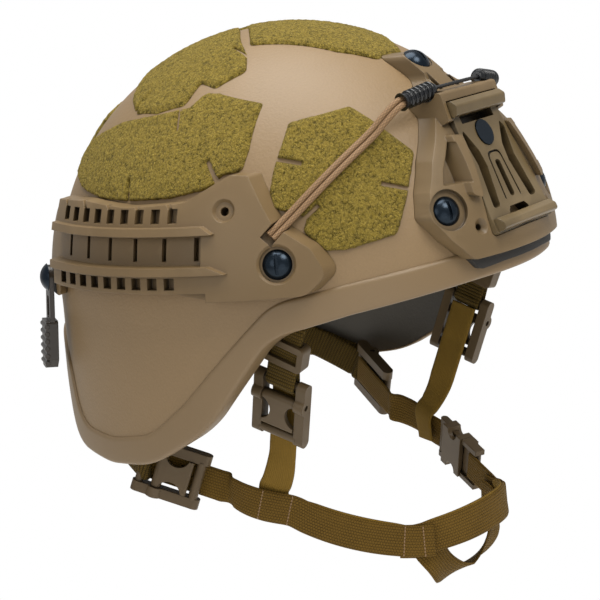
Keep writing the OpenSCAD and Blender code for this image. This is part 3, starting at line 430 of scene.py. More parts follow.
def pile_material(name, colour):
    """Loop pile: painted shade between the curls, painted highlights on the fibre tips."""
    m, g = new_material(name)
    pile = use(g, PILE, Vector=g.place())
    # Painted light: the pits between the curls darken as painted shade, and the fibre tips lift towards a
    # whitened copy of the colour as painted highlights.
    light = rgba(colour, 2.0, 0.022)
    base = g.mix(g.mul(pile["Pits"], 0.9), rgba(colour), rgba(colour, 0.16))
    base = g.mix(g.mul(pile["Tips"], 0.85), base, light)
    base = g.mix(g.ramp(pile["Patchy"], 0.35, 0.75), base, g.mix(0.3, base, light))
    g.surface(base, g.bump(pile["Height"], 1.0, 0.0018), 0.95, Sheen_Weight=0.12, Sheen_Roughness=0.5,
              Sheen_Tint=(1.0, 0.85, 0.45, 1.0), Specular_IOR_Level=0.1)
    return m


def web_material(name, colour, ribs=660.0, picks=700.0, depth=0.0003, contrast=0.7, threads=0.95,
                 turned_round=False):
    """Woven webbing: ribs and picks for each metre, with painted highlights on the threads, painted shade in
    the grooves, and fuzz.
    """
    m, g = new_material(name)
    uv = g.cloth()
    if turned_round:
        part = g.n("SeparateXYZ", Vector=uv)
        uv = g.n("CombineXYZ", X=part.outputs[1], Y=part.outputs[0]).outputs[0]
    pos = g.place()
    w = use(g, WEAVE, UV=uv, Ribs=ribs, Picks=picks, Vector=pos)
    broad = g.noise(pos, 60.0, 4.0)
    dark, light = rgba(colour, 0.3), rgba(colour, 1.7)
    # Painted light: the raised picks lift towards a lighter copy of the colour as painted highlights, and the
    # rib grooves darken as painted shade.
    thread = g.add(g.mul(g.math("POWER", w["Thread"], 0.7), threads), 0.5 - threads / 2)
    base = g.mix(thread, dark, light)
    base = g.mix(g.mul(w["Grooves"], contrast), base, dark)
    base = g.mix(g.ramp(broad, 0.35, 0.75), base, g.mix(0.3, base, light))
    base = g.mix(g.math("MULTIPLY", g.sub(w["Fuzz"], 0.4), 0.3, True), base, light)
    g.surface(base, g.bump(w["Height"], 0.8, depth), 0.8, Sheen_Weight=0.05, Sheen_Roughness=0.4,
              Sheen_Tint=(1.0, 0.85, 0.55, 1.0), Specular_IOR_Level=0.12)
    return m


def cord_material(name, colour, turns, pitch, rough, depth, low=0.4):
    """Braided cord, with painted shade between its strands."""
    m, g = new_material(name)
    b = use(g, BRAID, UV=g.cloth(), Turns=turns, Pitch=pitch)
    # Painted shade between the strands and a painted highlight where they cross over.
    base = g.mix(b["Over"], rgba(colour, low), rgba(colour, 1.2))
    g.surface(base, g.bump(b["Height"], 0.9, depth), rough)
    return m


def pad_material():
    """Knitted pad cover with soft darker patches."""
    m, g = new_material("pad_cover")
    pos = g.place()
    knit, soft = g.noise(pos, 1300.0, 3.0, 0.7), g.noise(pos, 45.0, 3.0)
    base = g.mix(g.ramp(knit, 0.35, 0.7), (0.05, 0.047, 0.03, 1), (0.105, 0.098, 0.066, 1))
    base = g.mix(g.ramp(soft, 0.35, 0.7), base, g.mix(0.4, base, (0.03, 0.028, 0.02, 1)))
    g.surface(base, g.bump(knit, 0.7, 0.0004), 0.9, Sheen_Weight=0.3)
    return m


# Materials of the new pieces
M_SHELL = skin_material("tan_paint", (0.222, 0.145, 0.069), 0.5, grain=1050.0, bump=0.00035, strength=0.55,
                        spread=0.13, inside=(0.05, 0.042, 0.03), Specular_IOR_Level=0.5)
M_TRIM = skin_material("tan_trim", (0.19, 0.125, 0.06), 0.46, grain=1600.0, bump=0.0001, spread=0.07)
M_PILE = pile_material("olive_loop_pile", (0.196, 0.141, 0.02))
# M_WEB and M_WEB_FRONT are one webbing in two tones: the jaw and chin straps get a darker copy of the
# front-strap colour, which is painted shade.
M_WEB = web_material("olive_web", (0.096, 0.054, 0.009), threads=0.55)
M_WEB_FRONT = web_material("olive_web_front", (0.15, 0.088, 0.014), ribs=1000.0, picks=1200.0, depth=0.00012,
                           contrast=0.4, threads=0.35)
M_WEB_DARK = web_material("dark_web", (0.058, 0.036, 0.007), ribs=560.0, picks=900.0, depth=0.0006,
                          contrast=0.95, turned_round=True)
M_BUNGEE = cord_material("bungee_braid", (0.25, 0.145, 0.066), 7.0, 330.0, 0.7, 0.0002, 0.62)
M_CORD = cord_material("black_cord", (0.012, 0.012, 0.013), 6.0, 500.0, 0.55, 0.00012)
M_PAD = pad_material()
M_THREAD = skin_material("stitch_thread", (0.22, 0.13, 0.06), 0.7, grain=3000.0, bump=0.00005, strength=0.5,
                         spread=0.2)

# Materials of the CAD pieces, by slot
FINE = dict(strength=0.3, spread=0.2)
SLOT_LOOK = {
    "rail": skin_material("tan_moulding", (0.15, 0.097, 0.043), 0.42, bevel=0.0006, wear_and_highlight=0.5, hollow=0.95,
                          reach=0.008, deep=0.14, Specular_IOR_Level=0.4),
    "shroud": skin_material("shroud_moulding", (0.142, 0.094, 0.043), 0.4, bevel=0.0006, wear_and_highlight=0.6,
                            hollow=0.85, deep=0.3, Specular_IOR_Level=0.45),
    "insert": skin_material("insert_coat", (0.108, 0.074, 0.031), 0.34, grain=2400.0, bump=0.00005,
                            strength=0.3, bevel=0.0005, wear_and_highlight=0.7, hollow=0.97, reach=0.009, deep=0.3),
    "screw": skin_material("blue_black_oxide", (0.012, 0.02, 0.03), 0.24, grain=3000.0, bump=0.00003,
                           bevel=0.0004, Metallic=0.75, **FINE),
    "nut": skin_material("dark_nut", (0.05, 0.05, 0.052), 0.35, grain=2600.0, bump=0.00003, bevel=0.0003,
                         Metallic=0.9, **FINE),
    "black_rubber": skin_material("black_rubber", (0.02, 0.018, 0.016), 0.62, grain=2000.0, bump=0.0001,
                                  strength=0.4, spread=0.2, bevel=0.0004),
    "hook": skin_material("black_gloss", (0.006, 0.007, 0.008), 0.2, grain=2600.0, bump=0.00002, bevel=0.0003,
                          **FINE),
    "clip": skin_material("brown_clip", (0.022, 0.015, 0.009), 0.32, strength=0.3, spread=0.12, bevel=0.0005,
                          wear_and_highlight=0.3, hollow=0.6),
    "buckle": skin_material("buckle_moulding", (0.088, 0.058, 0.027), 0.4, spread=0.1, bevel=0.0006,
                            wear_and_highlight=0.35, hollow=0.8, Specular_IOR_Level=0.3),
    "hook_disc": skin_material("hook_tape", (0.02, 0.02, 0.017), 0.9, grain=900.0, bump=0.0005, strength=0.9,
                               spread=0.5)}
SLOT_LOOK.update(disc=SLOT_LOOK["screw"], lever=SLOT_LOOK["buckle"])


# Shell and edge trim
def build_shell():
    """Shell: rows of latitude from the rim to the crown, outside and inside, joined by the flat rim edge."""
    nt, no, ni = 420, 110, 60  # columns, outer rows, inner rows
    theta = np.linspace(0, 2 * math.pi, nt, endpoint=False)
    parts = []
    for t, rows in ((0.0, no), (-SHELL_T, ni)):
        zr = edge_z(theta, t, RIM)
        low = np.where(zr > 0, np.arcsin(np.clip(zr / (C + t), -1, 1)), zr / (C + t))[:, None]
        lat = low + (math.pi / 2 - 0.004 - low) * np.linspace(0, 1, rows)[None, :] ** 0.9
        z = np.where(lat > 0, (C + t) * np.sin(lat), lat * (C + t))
        parts.append(wall(theta[:, None] + 0 * z, z, t).reshape(-1, 3))
    verts = np.concatenate([*parts, [[0, 0, C], [0, 0, C - SHELL_T]]])
    inner, top, bottom = nt * no, len(verts) - 2, len(verts) - 1
    i = np.arange(nt)
    j = (i + 1) % nt
    quads = [grid_faces(nt, no, wrap_u=True), grid_faces(nt, ni, wrap_u=True, start=inner, flip=True),
             np.stack([i * no, inner + i * ni, inner + j * ni, j * no], -1)]
    caps = [np.stack([i * no + no - 1, j * no + no - 1, np.full(nt, top)], -1),
            np.stack([inner + j * ni + ni - 1, inner + i * ni + ni - 1, np.full(nt, bottom)], -1)]
    faces = np.concatenate(quads).tolist() + np.concatenate(caps).tolist()
    ob = make_object("helmet_shell", verts, faces, M_SHELL)
    ob.modifiers.new("rim_edge", "EDGE_SPLIT").split_angle = math.radians(50)
    return ob


def build_trim():
    """Edge trim: a channel swept round the rim, with a rounded shoulder above and round lips below."""
    nt = 900
    theta = np.linspace(0, 2 * math.pi, nt, endpoint=False)
    zr, zb = edge_z(theta, TRIM_T, RIM), edge_z(theta, TRIM_T, BAND)
    zi = edge_z(theta, -SHELL_T, RIM)
    y = -(B + TRIM_T) * np.cos(theta)

    def steepness(line):
        """How much longer the sloping line is than its plan."""
        rise = np.interp(y + 1, line[:, 0], line[:, 1]) - np.interp(y - 1, line[:, 0], line[:, 1])
        return np.sqrt(1 + (rise / 2 * np.sin(theta)) ** 2)

    def rings_below(z, steep, profile):
        return [wall(theta, z - drop * steep, t) for t, drop in profile]

    steep, band_steep = steepness(RIM), steepness(BAND)
    shoulder, lip = 2.6, 0.8
    rings = rings_below(zb, band_steep,
                        ((0.1, 0.0), (0.35, 0.15), (0.8, 0.5), (1.2, 1.1), (1.36, 1.8), (TRIM_T, shoulder)))
    top, foot = zb - shoulder * band_steep, zr + lip * steep
    rings += [wall(theta, top * (1 - f) + foot * f, TRIM_T) for f in (0.35, 0.65)]
    rings += rings_below(zr, steep, ((TRIM_T, -lip), (1.3, -0.1), (0.95, 0.6), (0.3, 1.1), (-0.6, 1.4)))
    rings += rings_below(zi, steep, ((-7.2, 1.4), (-7.7, 1.1), (-7.95, 0.6), (-SHELL_T, 0.2)))
    rings += rings_below(zr, steep, ((0.1, 0.2),))
    ring = np.stack(rings, 1)
    return make_object("edge_binding", ring.reshape(-1, 3), grid_faces(nt, len(rings), True, True), M_TRIM)


# Flat pieces laid on the dome
class Plane:
    """A drawing plane (u, v) with the direction in which its outline is thrown onto the dome."""

    def __init__(self, e1, e2, d):
        self.e = np.array([e1, e2, d], float)

    def point(self, q, t):
        """Where the plane point q meets the ellipsoid at offset t (t may vary from point to point)."""
        ax = np.stack([A + t, B + t, C + t], -1) * np.ones((len(q), 1))
        o = (q[:, :1] * self.e[0] + q[:, 1:2] * self.e[1]) / ax
        d = self.e[2] / ax
        aa, bb, cc = (d * d).sum(1), 2 * (o * d).sum(1), (o * o).sum(1) - 1
        w = (-bb + np.sqrt(np.maximum(bb * bb - 4 * aa * cc, 0))) / (2 * aa)
        return (o + d * w[:, None]) * ax


def turned(deg):
    """Upright drawing plane on the right side, turned from straight sideways."""
    c, s = math.cos(math.radians(deg)), math.sin(math.radians(deg))
    return Plane([-s, c, 0], [0, 0, 1], [-c, -s, 0])


TOP = Plane([1, 0, 0], [0, 1, 0], [0, 0, 1])
FRONT = Plane([1, 0, 0], [0, 0, 1], [0, -1, 0])
REAR = Plane([1, 0, 0], [0, 0, 1], [0, 1, 0])


def inside_poly(p, poly):
    """Which points lie inside a polygon: a ray to the right crosses its sides an odd number of times."""
    x, y = p[:, 0][:, None], p[:, 1][:, None]
    a, b = poly, np.roll(poly, -1, 0)
    cond = (a[:, 1] > y) != (b[:, 1] > y)
    rise = np.where(b[:, 1] == a[:, 1], 1e-9, b[:, 1] - a[:, 1])
    cut = (b[:, 0] - a[:, 0]) * (y - a[:, 1]) / rise + a[:, 0]
    return ((cond & (x < cut)).sum(1) % 2).astype(bool)


def dist_to(p, segs):
    """Distance from each point to the nearest of the segments."""
    a, b = segs[:, 0], segs[:, 1]
    best = np.full(len(p), 1e9)
    for k in range(len(a)):
        ab = b[k] - a[k]
        s = np.clip(((p - a[k]) @ ab) / max(ab @ ab, 1e-9), 0, 1)
        best = np.minimum(best, np.linalg.norm(p - a[k] - s[:, None] * ab, axis=1))
    return best


def slit(a, b, w):
    """Outline of a slit of width w from a to b."""
    a, b = np.array(a, float), np.array(b, float)
    d = unit(b - a)
    n = np.array([-d[1], d[0]]) * w / 2
    return np.array([a + n, b + n, b - n, a - n])


def in_region(p, outline, holes):
    keep = inside_poly(p, outline)
    for h in holes:
        keep &= ~inside_poly(p, h)
    return keep


def fill(outline, holes, step, seed):
    """Fine triangulation of an outline without its holes, and each vertex's distance to the border."""
    rng = np.random.default_rng(seed)
    lo, hi = outline.min(0), outline.max(0)
    gx, gy = np.meshgrid(np.arange(lo[0], hi[0], step), np.arange(lo[1], hi[1], step * 0.87), indexing="ij")
    gx = gx + (np.arange(gx.shape[1]) % 2)[None, :] * step / 2
    pts = np.stack([gx.ravel(), gy.ravel()], -1) + rng.uniform(-0.22, 0.22, (gx.size, 2)) * step
    dense = []
    for loop in [outline] + holes:
        points = []
        for a, b in zip(loop, np.roll(loop, -1, 0)):
            k = max(1, int(np.linalg.norm(b - a) / step))
            points += [a + (b - a) * s / k for s in range(k)]
        dense.append(np.array(points))
    pts = pts[in_region(pts, outline, holes)]
    segs = np.concatenate([np.stack([d, np.roll(d, -1, 0)], 1) for d in dense])
    pts = pts[dist_to(pts, segs) > step * 0.45]
    verts, edges = [], []
    for d in dense:
        k = len(verts)
        verts += d.tolist()
        edges += [(k + i, k + (i + 1) % len(d)) for i in range(len(d))]
    verts += pts.tolist()
    v, _, f, *_ = delaunay_2d_cdt([Vector(q) for q in verts], edges, [], 0, 1e-5)
    v = np.array([[q[0], q[1]] for q in v])
    f = np.array([list(t) for t in f])
    f = f[in_region(v[f].mean(1), outline, holes)]
    used, inv = np.unique(f, return_inverse=True)
    v, f = v[used], inv.reshape(f.shape)
    e = np.sort(np.concatenate([f[:, [0, 1]], f[:, [1, 2]], f[:, [2, 0]]]), 1)
    u, cnt = np.unique(e, axis=0, return_counts=True)
    return v, f, dist_to(v, v[u[cnt == 1]])


def side_faces(f, offset):
    """Triangles that join the border of a surface to the same border of its other face."""
    e = np.concatenate([f[:, [0, 1]], f[:, [1, 2]], f[:, [2, 0]]]).tolist()
    known = {(a, b) for a, b in e}
    res = []
    for a, b in e:
        if (b, a) not in known:
            res += [[b, a, a + offset], [b, a + offset, b + offset]]
    return res


def patch(name, plane, outline, holes, mirror):
    """Loop patch: the outline thrown onto the dome, with a rounded border and a tufted pile surface."""
    v, f, d = fill(outline, holes, PATCH_STEP, 11)
    s = np.clip(d / 1.3, 0, 1)
    flat = plane.point(v, 0.0)
    lumps = (1.3, 3, 0.24), (2.6, 4, 0.14), (0.8, 5, 0.12)
    lump = sum(value_noise(flat, size, seed) * height for size, seed, height in lumps)
    t = 0.25 + (PATCH_T - 0.35) * np.sqrt(1 - (1 - s) ** 2) + lump * np.clip(d / 0.8, 0, 1)
    ragged = np.stack([value_noise(flat, 1.5, k) for k in (6, 7, 8)], -1) * 0.34
    top = plane.point(v, t) + ragged * np.clip(1.6 - d, 0, 1)[:, None]
    verts = np.concatenate([top, plane.point(v, 0.1)])
    n = len(v)
    faces = f.tolist() + (f[:, ::-1] + n).tolist() + side_faces(f, n)
    return make_object(name, verts, faces, M_PILE, mirror=mirror)


def grown(p, d):
    """Closed outline moved outward by d."""
    area = (p[:, 0] * np.roll(p[:, 1], -1) - np.roll(p[:, 0], -1) * p[:, 1]).sum()
    t = unit(np.roll(p, -1, 0) - np.roll(p, 1, 0))
    return p + np.stack([t[:, 1], -t[:, 0]], -1) * (1 if area > 0 else -1) * d


# Outlines of the loop patches and the shroud plate, each in its drawing plane
CROWN = rounded(both_sides([[-4, 12, 3], [-30, -8, 3], [-38, -14, 3], [-24, -58, 6], [-12, -74, 5]]), 8)
UPPER = rounded([[-5, 17, 3], [-34, -5, 3], [-47, -18, 3], [-58, -25, 4], [-70, -13, 4], [-67, -2, 2],
                 [-78.5, 1, 4], [-80, 19, 6], [-75, 37.6, 1.5], [-66.5, 31.4, 0.4], [-65.4, 32.7, 0.4],
                 [-73.4, 39, 1.5], [-62, 50, 8], [-34, 62, 8], [-5, 66, 3]], 8)
SIDE = rounded([[68, 80, 4], [64, 71, 4], [40, 64, 20], [15, 61, 30], [-10, 60.5, 30], [-34, 61.5, 10],
                [-54, 65, 3], [-59, 71, 2], [-67, 72, 3], [-66, 82, 8], [-60, 102, 3], [-36, 108, 4],
                [-28, 109, 3], [-24, 103, 3], [-6, 100.5, 3], [25, 97, 20], [52, 90, 8], [64, 86, 4]], 8)
FRONT_P = rounded([[-29, 96, 3], [-38, 89, 3], [-57, 71, 3], [-49, 50, 3], [-42, 35, 3], [-16, 31, 3],
                   [-6, 32, 3], [3, 42, 3], [0, 48, 2], [16, 54, 3], [16, 62, 6], [12, 73, 4], [2, 92, 4]], 8)
REAR_P = rounded(both_sides([[-30, 64, 6], [-50, 68, 4], [-44, 98, 5], [-20, 106, 6]]), 8)
PLATE = rounded(both_sides([[-9, 116, 4], [-9, 103, 5], [-22, 91, 8], [-44, 66, 12], [-53, 52, 6],
                            [-57.5, 40, 4], [-51, 28, 5], [-42, 17, 4]]), 8)


def build_patches():
    """Loop patches, with their slits; the crown and front ones leave room round the shroud plate."""
    side_plane, front_plane = turned(-15), turned(40)
    plate = FRONT.point(grown(PLATE, 0.7), 1.0)
    plate_top, plate_side = (np.stack([plate @ q.e[0], plate @ q.e[1]], -1) for q in (TOP, front_plane))
    upper_slits = [slit([-48, -19], [-42, -6], 1.6)]
    side_slits = [slit([-7, 58], [-4, 71], 1.6), slit([-17, 104], [-24, 93], 1.8),
                  slit([-58, 67], [-49, 78], 2.2)]
    front_slits = [slit([14, 77], [-1, 73], 1.8), slit([-56, 53], [-38, 59], 1.8),
                   slit([4, 46], [-6, 53], 1.8)]
    pairs = (("upper", TOP, UPPER, upper_slits), ("side", side_plane, SIDE, side_slits),
             ("front", front_plane, FRONT_P, front_slits + [plate_side]))
    dress(patch("pile_crown", TOP, CROWN, [plate_top], False), "loop_patch_crown")
    dress(patch("pile_rear", REAR, REAR_P, [], False), "loop_patch_rear")
    for side in ("right", "left"):
        for key, plane, outline, holes in pairs:
            ob = patch(f"pile_{key}_{side}", plane, outline, holes, side == "left")
            dress(ob, f"loop_patch_{key}_{side}")


def build_pad(name, plane, outline, mirror):
    """Comfort pad: a stuffed cover, crowned on both faces, drawn in to a seam at its border."""
    v, f, d = fill(outline, [], PAD_STEP, 5)
    s = np.clip(d / 11.0, 0, 1)
    bulge = np.sqrt(1 - (1 - s) ** 2)
    flat = plane.point(v, 0.0)
    soft = value_noise(flat, 14.0, 21) * 0.5 + value_noise(flat, 6.0, 22) * 0.2
    seam = PAD_TOP - PAD_T * 0.35
    near = plane.point(v, seam + (PAD_TOP - seam) * bulge)
    far = plane.point(v, seam - (PAD_T * 0.65 - 0.6) * bulge + soft * bulge - 0.6 * bulge * (1 - s))
    n = len(v)
    border = np.where(d < 1e-6)[0]
    shared = np.arange(2 * n)
    shared[border + n] = border
    used, inv = np.unique(np.concatenate([f, shared[f[:, ::-1] + n]]), return_inverse=True)
    verts = np.concatenate([near, far])[used]
    ob = make_object(name, verts, inv.reshape(-1, 3), M_PAD, mirror=mirror)
    return ob


# Webbing and cords
def smooth_path(p, step):
    """Even points of a centripetal Catmull-Rom curve, their place among the given ones, and their length."""
    p = np.asarray(p, float)
    p = np.concatenate([[2 * p[0] - p[1]], p, [2 * p[-1] - p[-2]]])
    k = np.concatenate([[0], np.cumsum(np.sqrt(np.linalg.norm(np.diff(p, axis=0), axis=1)) + 1e-6)])

    def between(s, i, j, a, b):
        """Value at knot s on the line from a at knot i to b at knot j."""
        return (k[j] - s) / (k[j] - k[i]) * a + (s - k[i]) / (k[j] - k[i]) * b

    res, par = [], []
    for i in range(1, len(p) - 2):
        s = np.linspace(k[i], k[i + 1], 24, endpoint=False)[:, None]
        a = [between(s, j, j + 1, p[j], p[j + 1]) for j in (i - 1, i, i + 1)]
        b = [between(s, j, j + 2, *a[j - i + 1:j - i + 3]) for j in (i - 1, i)]
        res.append(between(s, i, i + 1, *b))
        par.append(i - 1 + np.linspace(0, 1, 24, endpoint=False))
    q = np.concatenate(res + [p[-2:-1]])
    u = np.concatenate(par + [[len(p) - 3]])
    length = np.concatenate([[0], np.cumsum(np.linalg.norm(np.diff(q, axis=0), axis=1))])
    s = np.linspace(0, length[-1], max(3, int(length[-1] / step) + 1))
    return np.stack([np.interp(s, length, q[:, c]) for c in range(3)], -1), np.interp(s, length, u), s


def web_line(points, widths, step):
    """Even points of a webbing's centre line, their length, and the directions across it and out of it."""
    q, u, s = smooth_path(points, step)
    widths = np.asarray(widths, float)
    w = np.stack([np.interp(u, np.arange(len(widths)), widths[:, c]) for c in range(3)], -1)
    t = unit(np.gradient(q, axis=0))
    a = unit(w - t * (w * t).sum(1, keepdims=True))
    return q, s, a, np.cross(t, a)


def ribbon(name, points, widths, wide, material, step=WEB_STEP, mirror=False):
    """Webbing: a flat strip along a smooth curve, with rounded selvedges, thinner at its borders."""
    q, s, a, b = web_line(points, widths, step)
    m = 18
    c = np.linspace(-1, 1, m)
    half = WEB_T / 2 * np.sqrt(np.clip(1 - np.abs(c) ** 10, 0.02, 1))
    x = c * wide / 2
    ring = np.concatenate([q[:, None] + a[:, None] * x[::k, None] + k * b[:, None] * half[::k, None]
                           for k in (1, -1)], 1)
    n, k = ring.shape[:2]
    uv = np.stack(np.meshgrid(s, np.concatenate([x, x[::-1]]), indexing="ij"), -1).reshape(-1, 2) * MM
    faces = grid_faces(n, k, wrap_v=True).tolist()
    for base, turn in ((0, 1), ((n - 1) * k, -1)):
        faces += [[base + i, base + i + 1, base + k - 2 - i, base + k - 1 - i][::turn] for i in range(m - 1)]
    return make_object(name, ring.reshape(-1, 3), faces, material, uv, mirror), (q, a, b)


def round_cord(points, radius, sides=20, braid=0.0):
    """Cord: circles along a smooth curve, with a slanted braid relief."""
    q, _, s = smooth_path(points, CORD_STEP)
    t = unit(np.gradient(q, axis=0))
    a = unit(np.cross(t, UP))
    b = np.cross(t, a)
    ang = np.linspace(0, 2 * math.pi, sides + 1)
    run, turn = s[:, None] * 1.04, ang[None, :] * 3.5
    relief = np.maximum(np.abs(np.sin(run + turn)), np.abs(np.sin(run - turn)))
    r = radius * (1 - braid + braid * relief)
    ring = q[:, None] + (a[:, None] * np.cos(ang)[:, None] + b[:, None] * np.sin(ang)[:, None]) * r[..., None]
    return ring, np.stack(np.meshgrid(s * MM, ang / (2 * math.pi), indexing="ij"), -1)


def cord_object(name, strands, material, mirror=False):
    """One object of several cord strands, each closed by a fan at both ends."""
    verts, faces, uvs, k0 = [], [], [], 0
    for ring, uv in strands:
        n, k = ring.shape[:2]
        verts += [ring.reshape(-1, 3), ring[[0, -1]].mean(1)]
        uvs += [uv.reshape(-1, 2), uv[[0, -1], 0]]
        faces += grid_faces(n, k, start=k0).tolist()
        c0, e = k0 + n * k, k0 + (n - 1) * k
        faces += [[k0 + i + 1, k0 + i, c0] for i in range(k - 1)]
        faces += [[e + i, e + i + 1, c0 + 1] for i in range(k - 1)]
        k0 = c0 + 2
    return make_object(name, np.concatenate(verts), faces, material, np.concatenate(uvs), mirror)


def stitches(name, seats):
    """Thread stitches: small beads, each at a point with its run direction and its outward direction."""
    lat, lon = 5, 8
    long, wide, high = 0.85, 0.42, 0.3
    ph = np.linspace(-math.pi / 2, math.pi / 2, lat)[:, None]
    th = np.linspace(0, 2 * math.pi, lon, endpoint=False)
    ball = np.stack([np.sin(ph) + 0 * th, np.cos(ph) * np.cos(th), np.cos(ph) * np.sin(th)], -1)
    cell = grid_faces(lat, lon, wrap_v=True)
    x, y, z = (ball[..., k:k + 1] for k in range(3))
    verts = [(p + x * t * long + y * np.cross(t, n) * wide + z * n * high).reshape(-1, 3)
             for p, t, n in seats]
    faces = [cell + k * lat * lon for k in range(len(seats))]
    return make_object(name, np.concatenate(verts), np.concatenate(faces), M_THREAD)


# Harness layout, as in the CAD source
def bend(a, b, c, n):
    """Parabola from a to c, drawn towards b."""
    a, b, c = (np.asarray(q, float) for q in (a, b, c))
    return [a * (1 - i / n) ** 2 + b * 2 * (i / n) * (1 - i / n) + c * (i / n) ** 2 for i in range(n + 1)]


def bend3(a, b, c, d, n):
    """Cubic curve from a to d, drawn towards b and c."""
    a, b, c, d = (np.asarray(q, float) for q in (a, b, c, d))
    return [a * (1 - s) ** 3 + b * 3 * (1 - s) ** 2 * s + c * 3 * (1 - s) * s * s + d * s ** 3
            for s in np.linspace(0, 1, n + 1)]


def straight(a, b, n):
    return [a + (b - a) * i / n for i in range(n + 1)]


def across(w, t):
    """Direction w made square to the run t."""
    w, t = np.asarray(w, float), np.asarray(t, float)
    return unit(w - t * (w @ t))


def to_world(p, run, w, back, out):
    """Point of a buckle's own frame: back against the run and out of its face."""
    return p - run * back + np.cross(run, across(w, run)) * out


# Buckles as place, run and width direction; then the strap junction and the stitched chin zone
FRONT_BUCKLE = np.array([-88.0, -44, -49]), unit([20, 36, -99]), np.array([0.0, -1, 0])
REAR_BUCKLE = np.array([-96.0, 28, -86]), unit([25, -46, -23]), UP
JOIN, ZONE = np.array([-76.0, -22, -108]), np.array([-42.0, -84, -132])
WEB_LEVEL, SEWN, PLUG_LEVEL = -3.4, 0.35, -2.2
BUCKLE_L, BAR_R, BAR_LEVEL = 15.5, 2.2, 0.25
HANG = -SHELL_T - 0.6 - WEB_T


def wall_at(y, z, t):
    """Point of the right wall at offset t, on the dome or on the skirt."""
    if z > 0:
        return on_side(y, z, t)
    return np.array([-(A + t + FLARE * max(0, -z)) * math.sqrt(1 - (y / (B + t)) ** 2), y, z])


def path_dirs(p):
    p = np.asarray(p)
    return unit(p[np.minimum(np.arange(len(p)) + 1, len(p) - 1)] - p[np.maximum(np.arange(len(p)) - 1, 0)])


def wall_widths(p):
    """Width directions of webbing that lies flat against the wall."""
    p = np.asarray(p)
    n = unit(np.stack([p[:, 0] / (A * A), p[:, 1] / (B * B), np.maximum(p[:, 2], 0) / (C * C)], -1))
    return list(np.cross(n, path_dirs(p)))


def down_wall(route):
    """Path down the inside of the wall through [y, z] points, leaving it slowly after the third."""
    return [wall_at(q[0], q[1], HANG - 0.25 * max(0, i - 2)) for i, q in enumerate(route)]


def double_hanger(name, path, widths, buckle, mirror, node):
    """Hanger: one strip that comes down, turns round the bar and goes back up against itself."""
    q, _, a, b = web_line(path[:-1], widths[:-1], 3.0)
    lay = WEB_T / 2 + 0.03
    down, up = q - b * lay, q + b * lay
    run, w = buckle[1:]
    flip = 1.0 if (b[-1] @ np.cross(run, across(w, run))) > 0 else -1.0
    r = BAR_R + 0.2 + WEB_T / 2
    fold = [to_world(*buckle, BUCKLE_L + r * math.sin(ang), BAR_LEVEL - flip * r * math.cos(ang))
            for ang in np.linspace(math.radians(35), math.radians(-215), 30)]
    line = np.concatenate([down[:-2], fold, up[::-1][2:]])
    wid = np.concatenate([a[:-2], np.repeat(a[-1:], len(fold), 0), a[::-1][2:]])
    ob, _ = ribbon(name, line, wid, WEB_W, M_WEB_DARK, step=HANGER_STEP, mirror=mirror)
    dress(ob, node)


def build_hangers_and_front_straps():
    """Front and rear hangers inside the shell, and the front straps down to the junction."""
    across_f = FRONT_BUCKLE[2]
    front_bar = to_world(*FRONT_BUCKLE, BUCKLE_L + 3, BAR_LEVEL)
    exit_f = wall_at(-61, -6, HANG - 1.25)
    above_bar = front_bar - FRONT_BUCKLE[1] * 9
    run_s = unit(above_bar - exit_f)
    slider = exit_f * 0.3 + above_bar * 0.7
    fpath = down_wall([np.array([-67.0, 36.5])] + bend([-67, 29.5], [-66.5, 7], [-61, -6], 6))
    fpath += [slider - run_s * 8.5, slider + run_s * 8.5, front_bar]
    flat = wall_widths(fpath)
    fw = flat[:7] + [flat[7] * 0.5 + across_f * 0.5] + [across_f] * 3
    rpath = down_wall([[92, 27], [92, 12], [92, -6]] + bend([91, -20], [88, -58], [60, -68], 6))
    rpath.append(to_world(*REAR_BUCKLE, BUCKLE_L + 3.4, BAR_LEVEL))
    rw = wall_widths(rpath)[:-1] + [REAR_BUCKLE[2]]

    def front(back, out=WEB_LEVEL):
        return to_world(*FRONT_BUCKLE, back, out)

    drop = straight(front(12), front(-26), 2)
    drop += bend(front(-32), front(-44, WEB_LEVEL + 0.5), JOIN + JAW_IN + [0, 0, 9], 4)
    drop.append(JOIN + JAW_IN * 1.2 + [0, 0, -7])
    dw = [across_f] * 4 + [across_f * (1 - i / 5) + JAW_DIR * i / 5 for i in range(1, 6)]
    for side in ("right", "left"):
        m = side == "left"
        double_hanger(f"hanger_web_front_{side}", fpath, fw, FRONT_BUCKLE, m, f"front_hanger_{side}")
        double_hanger(f"hanger_web_rear_{side}", rpath, rw, REAR_BUCKLE, m, f"rear_hanger_{side}")
        ob, _ = ribbon(f"strap_front_{side}", drop, dw, WEB_W - 1, M_WEB_FRONT, mirror=m)
        dress(ob, f"front_strap_{side}")


# Direction of the jaw strap at the junction, and the step to the layer inside it
JAW_DIR = unit([9, -16, -5.5])
JAW_IN = np.cross(unit([JAW_DIR[0], JAW_DIR[1], 0]), UP) * -(WEB_T + 1)


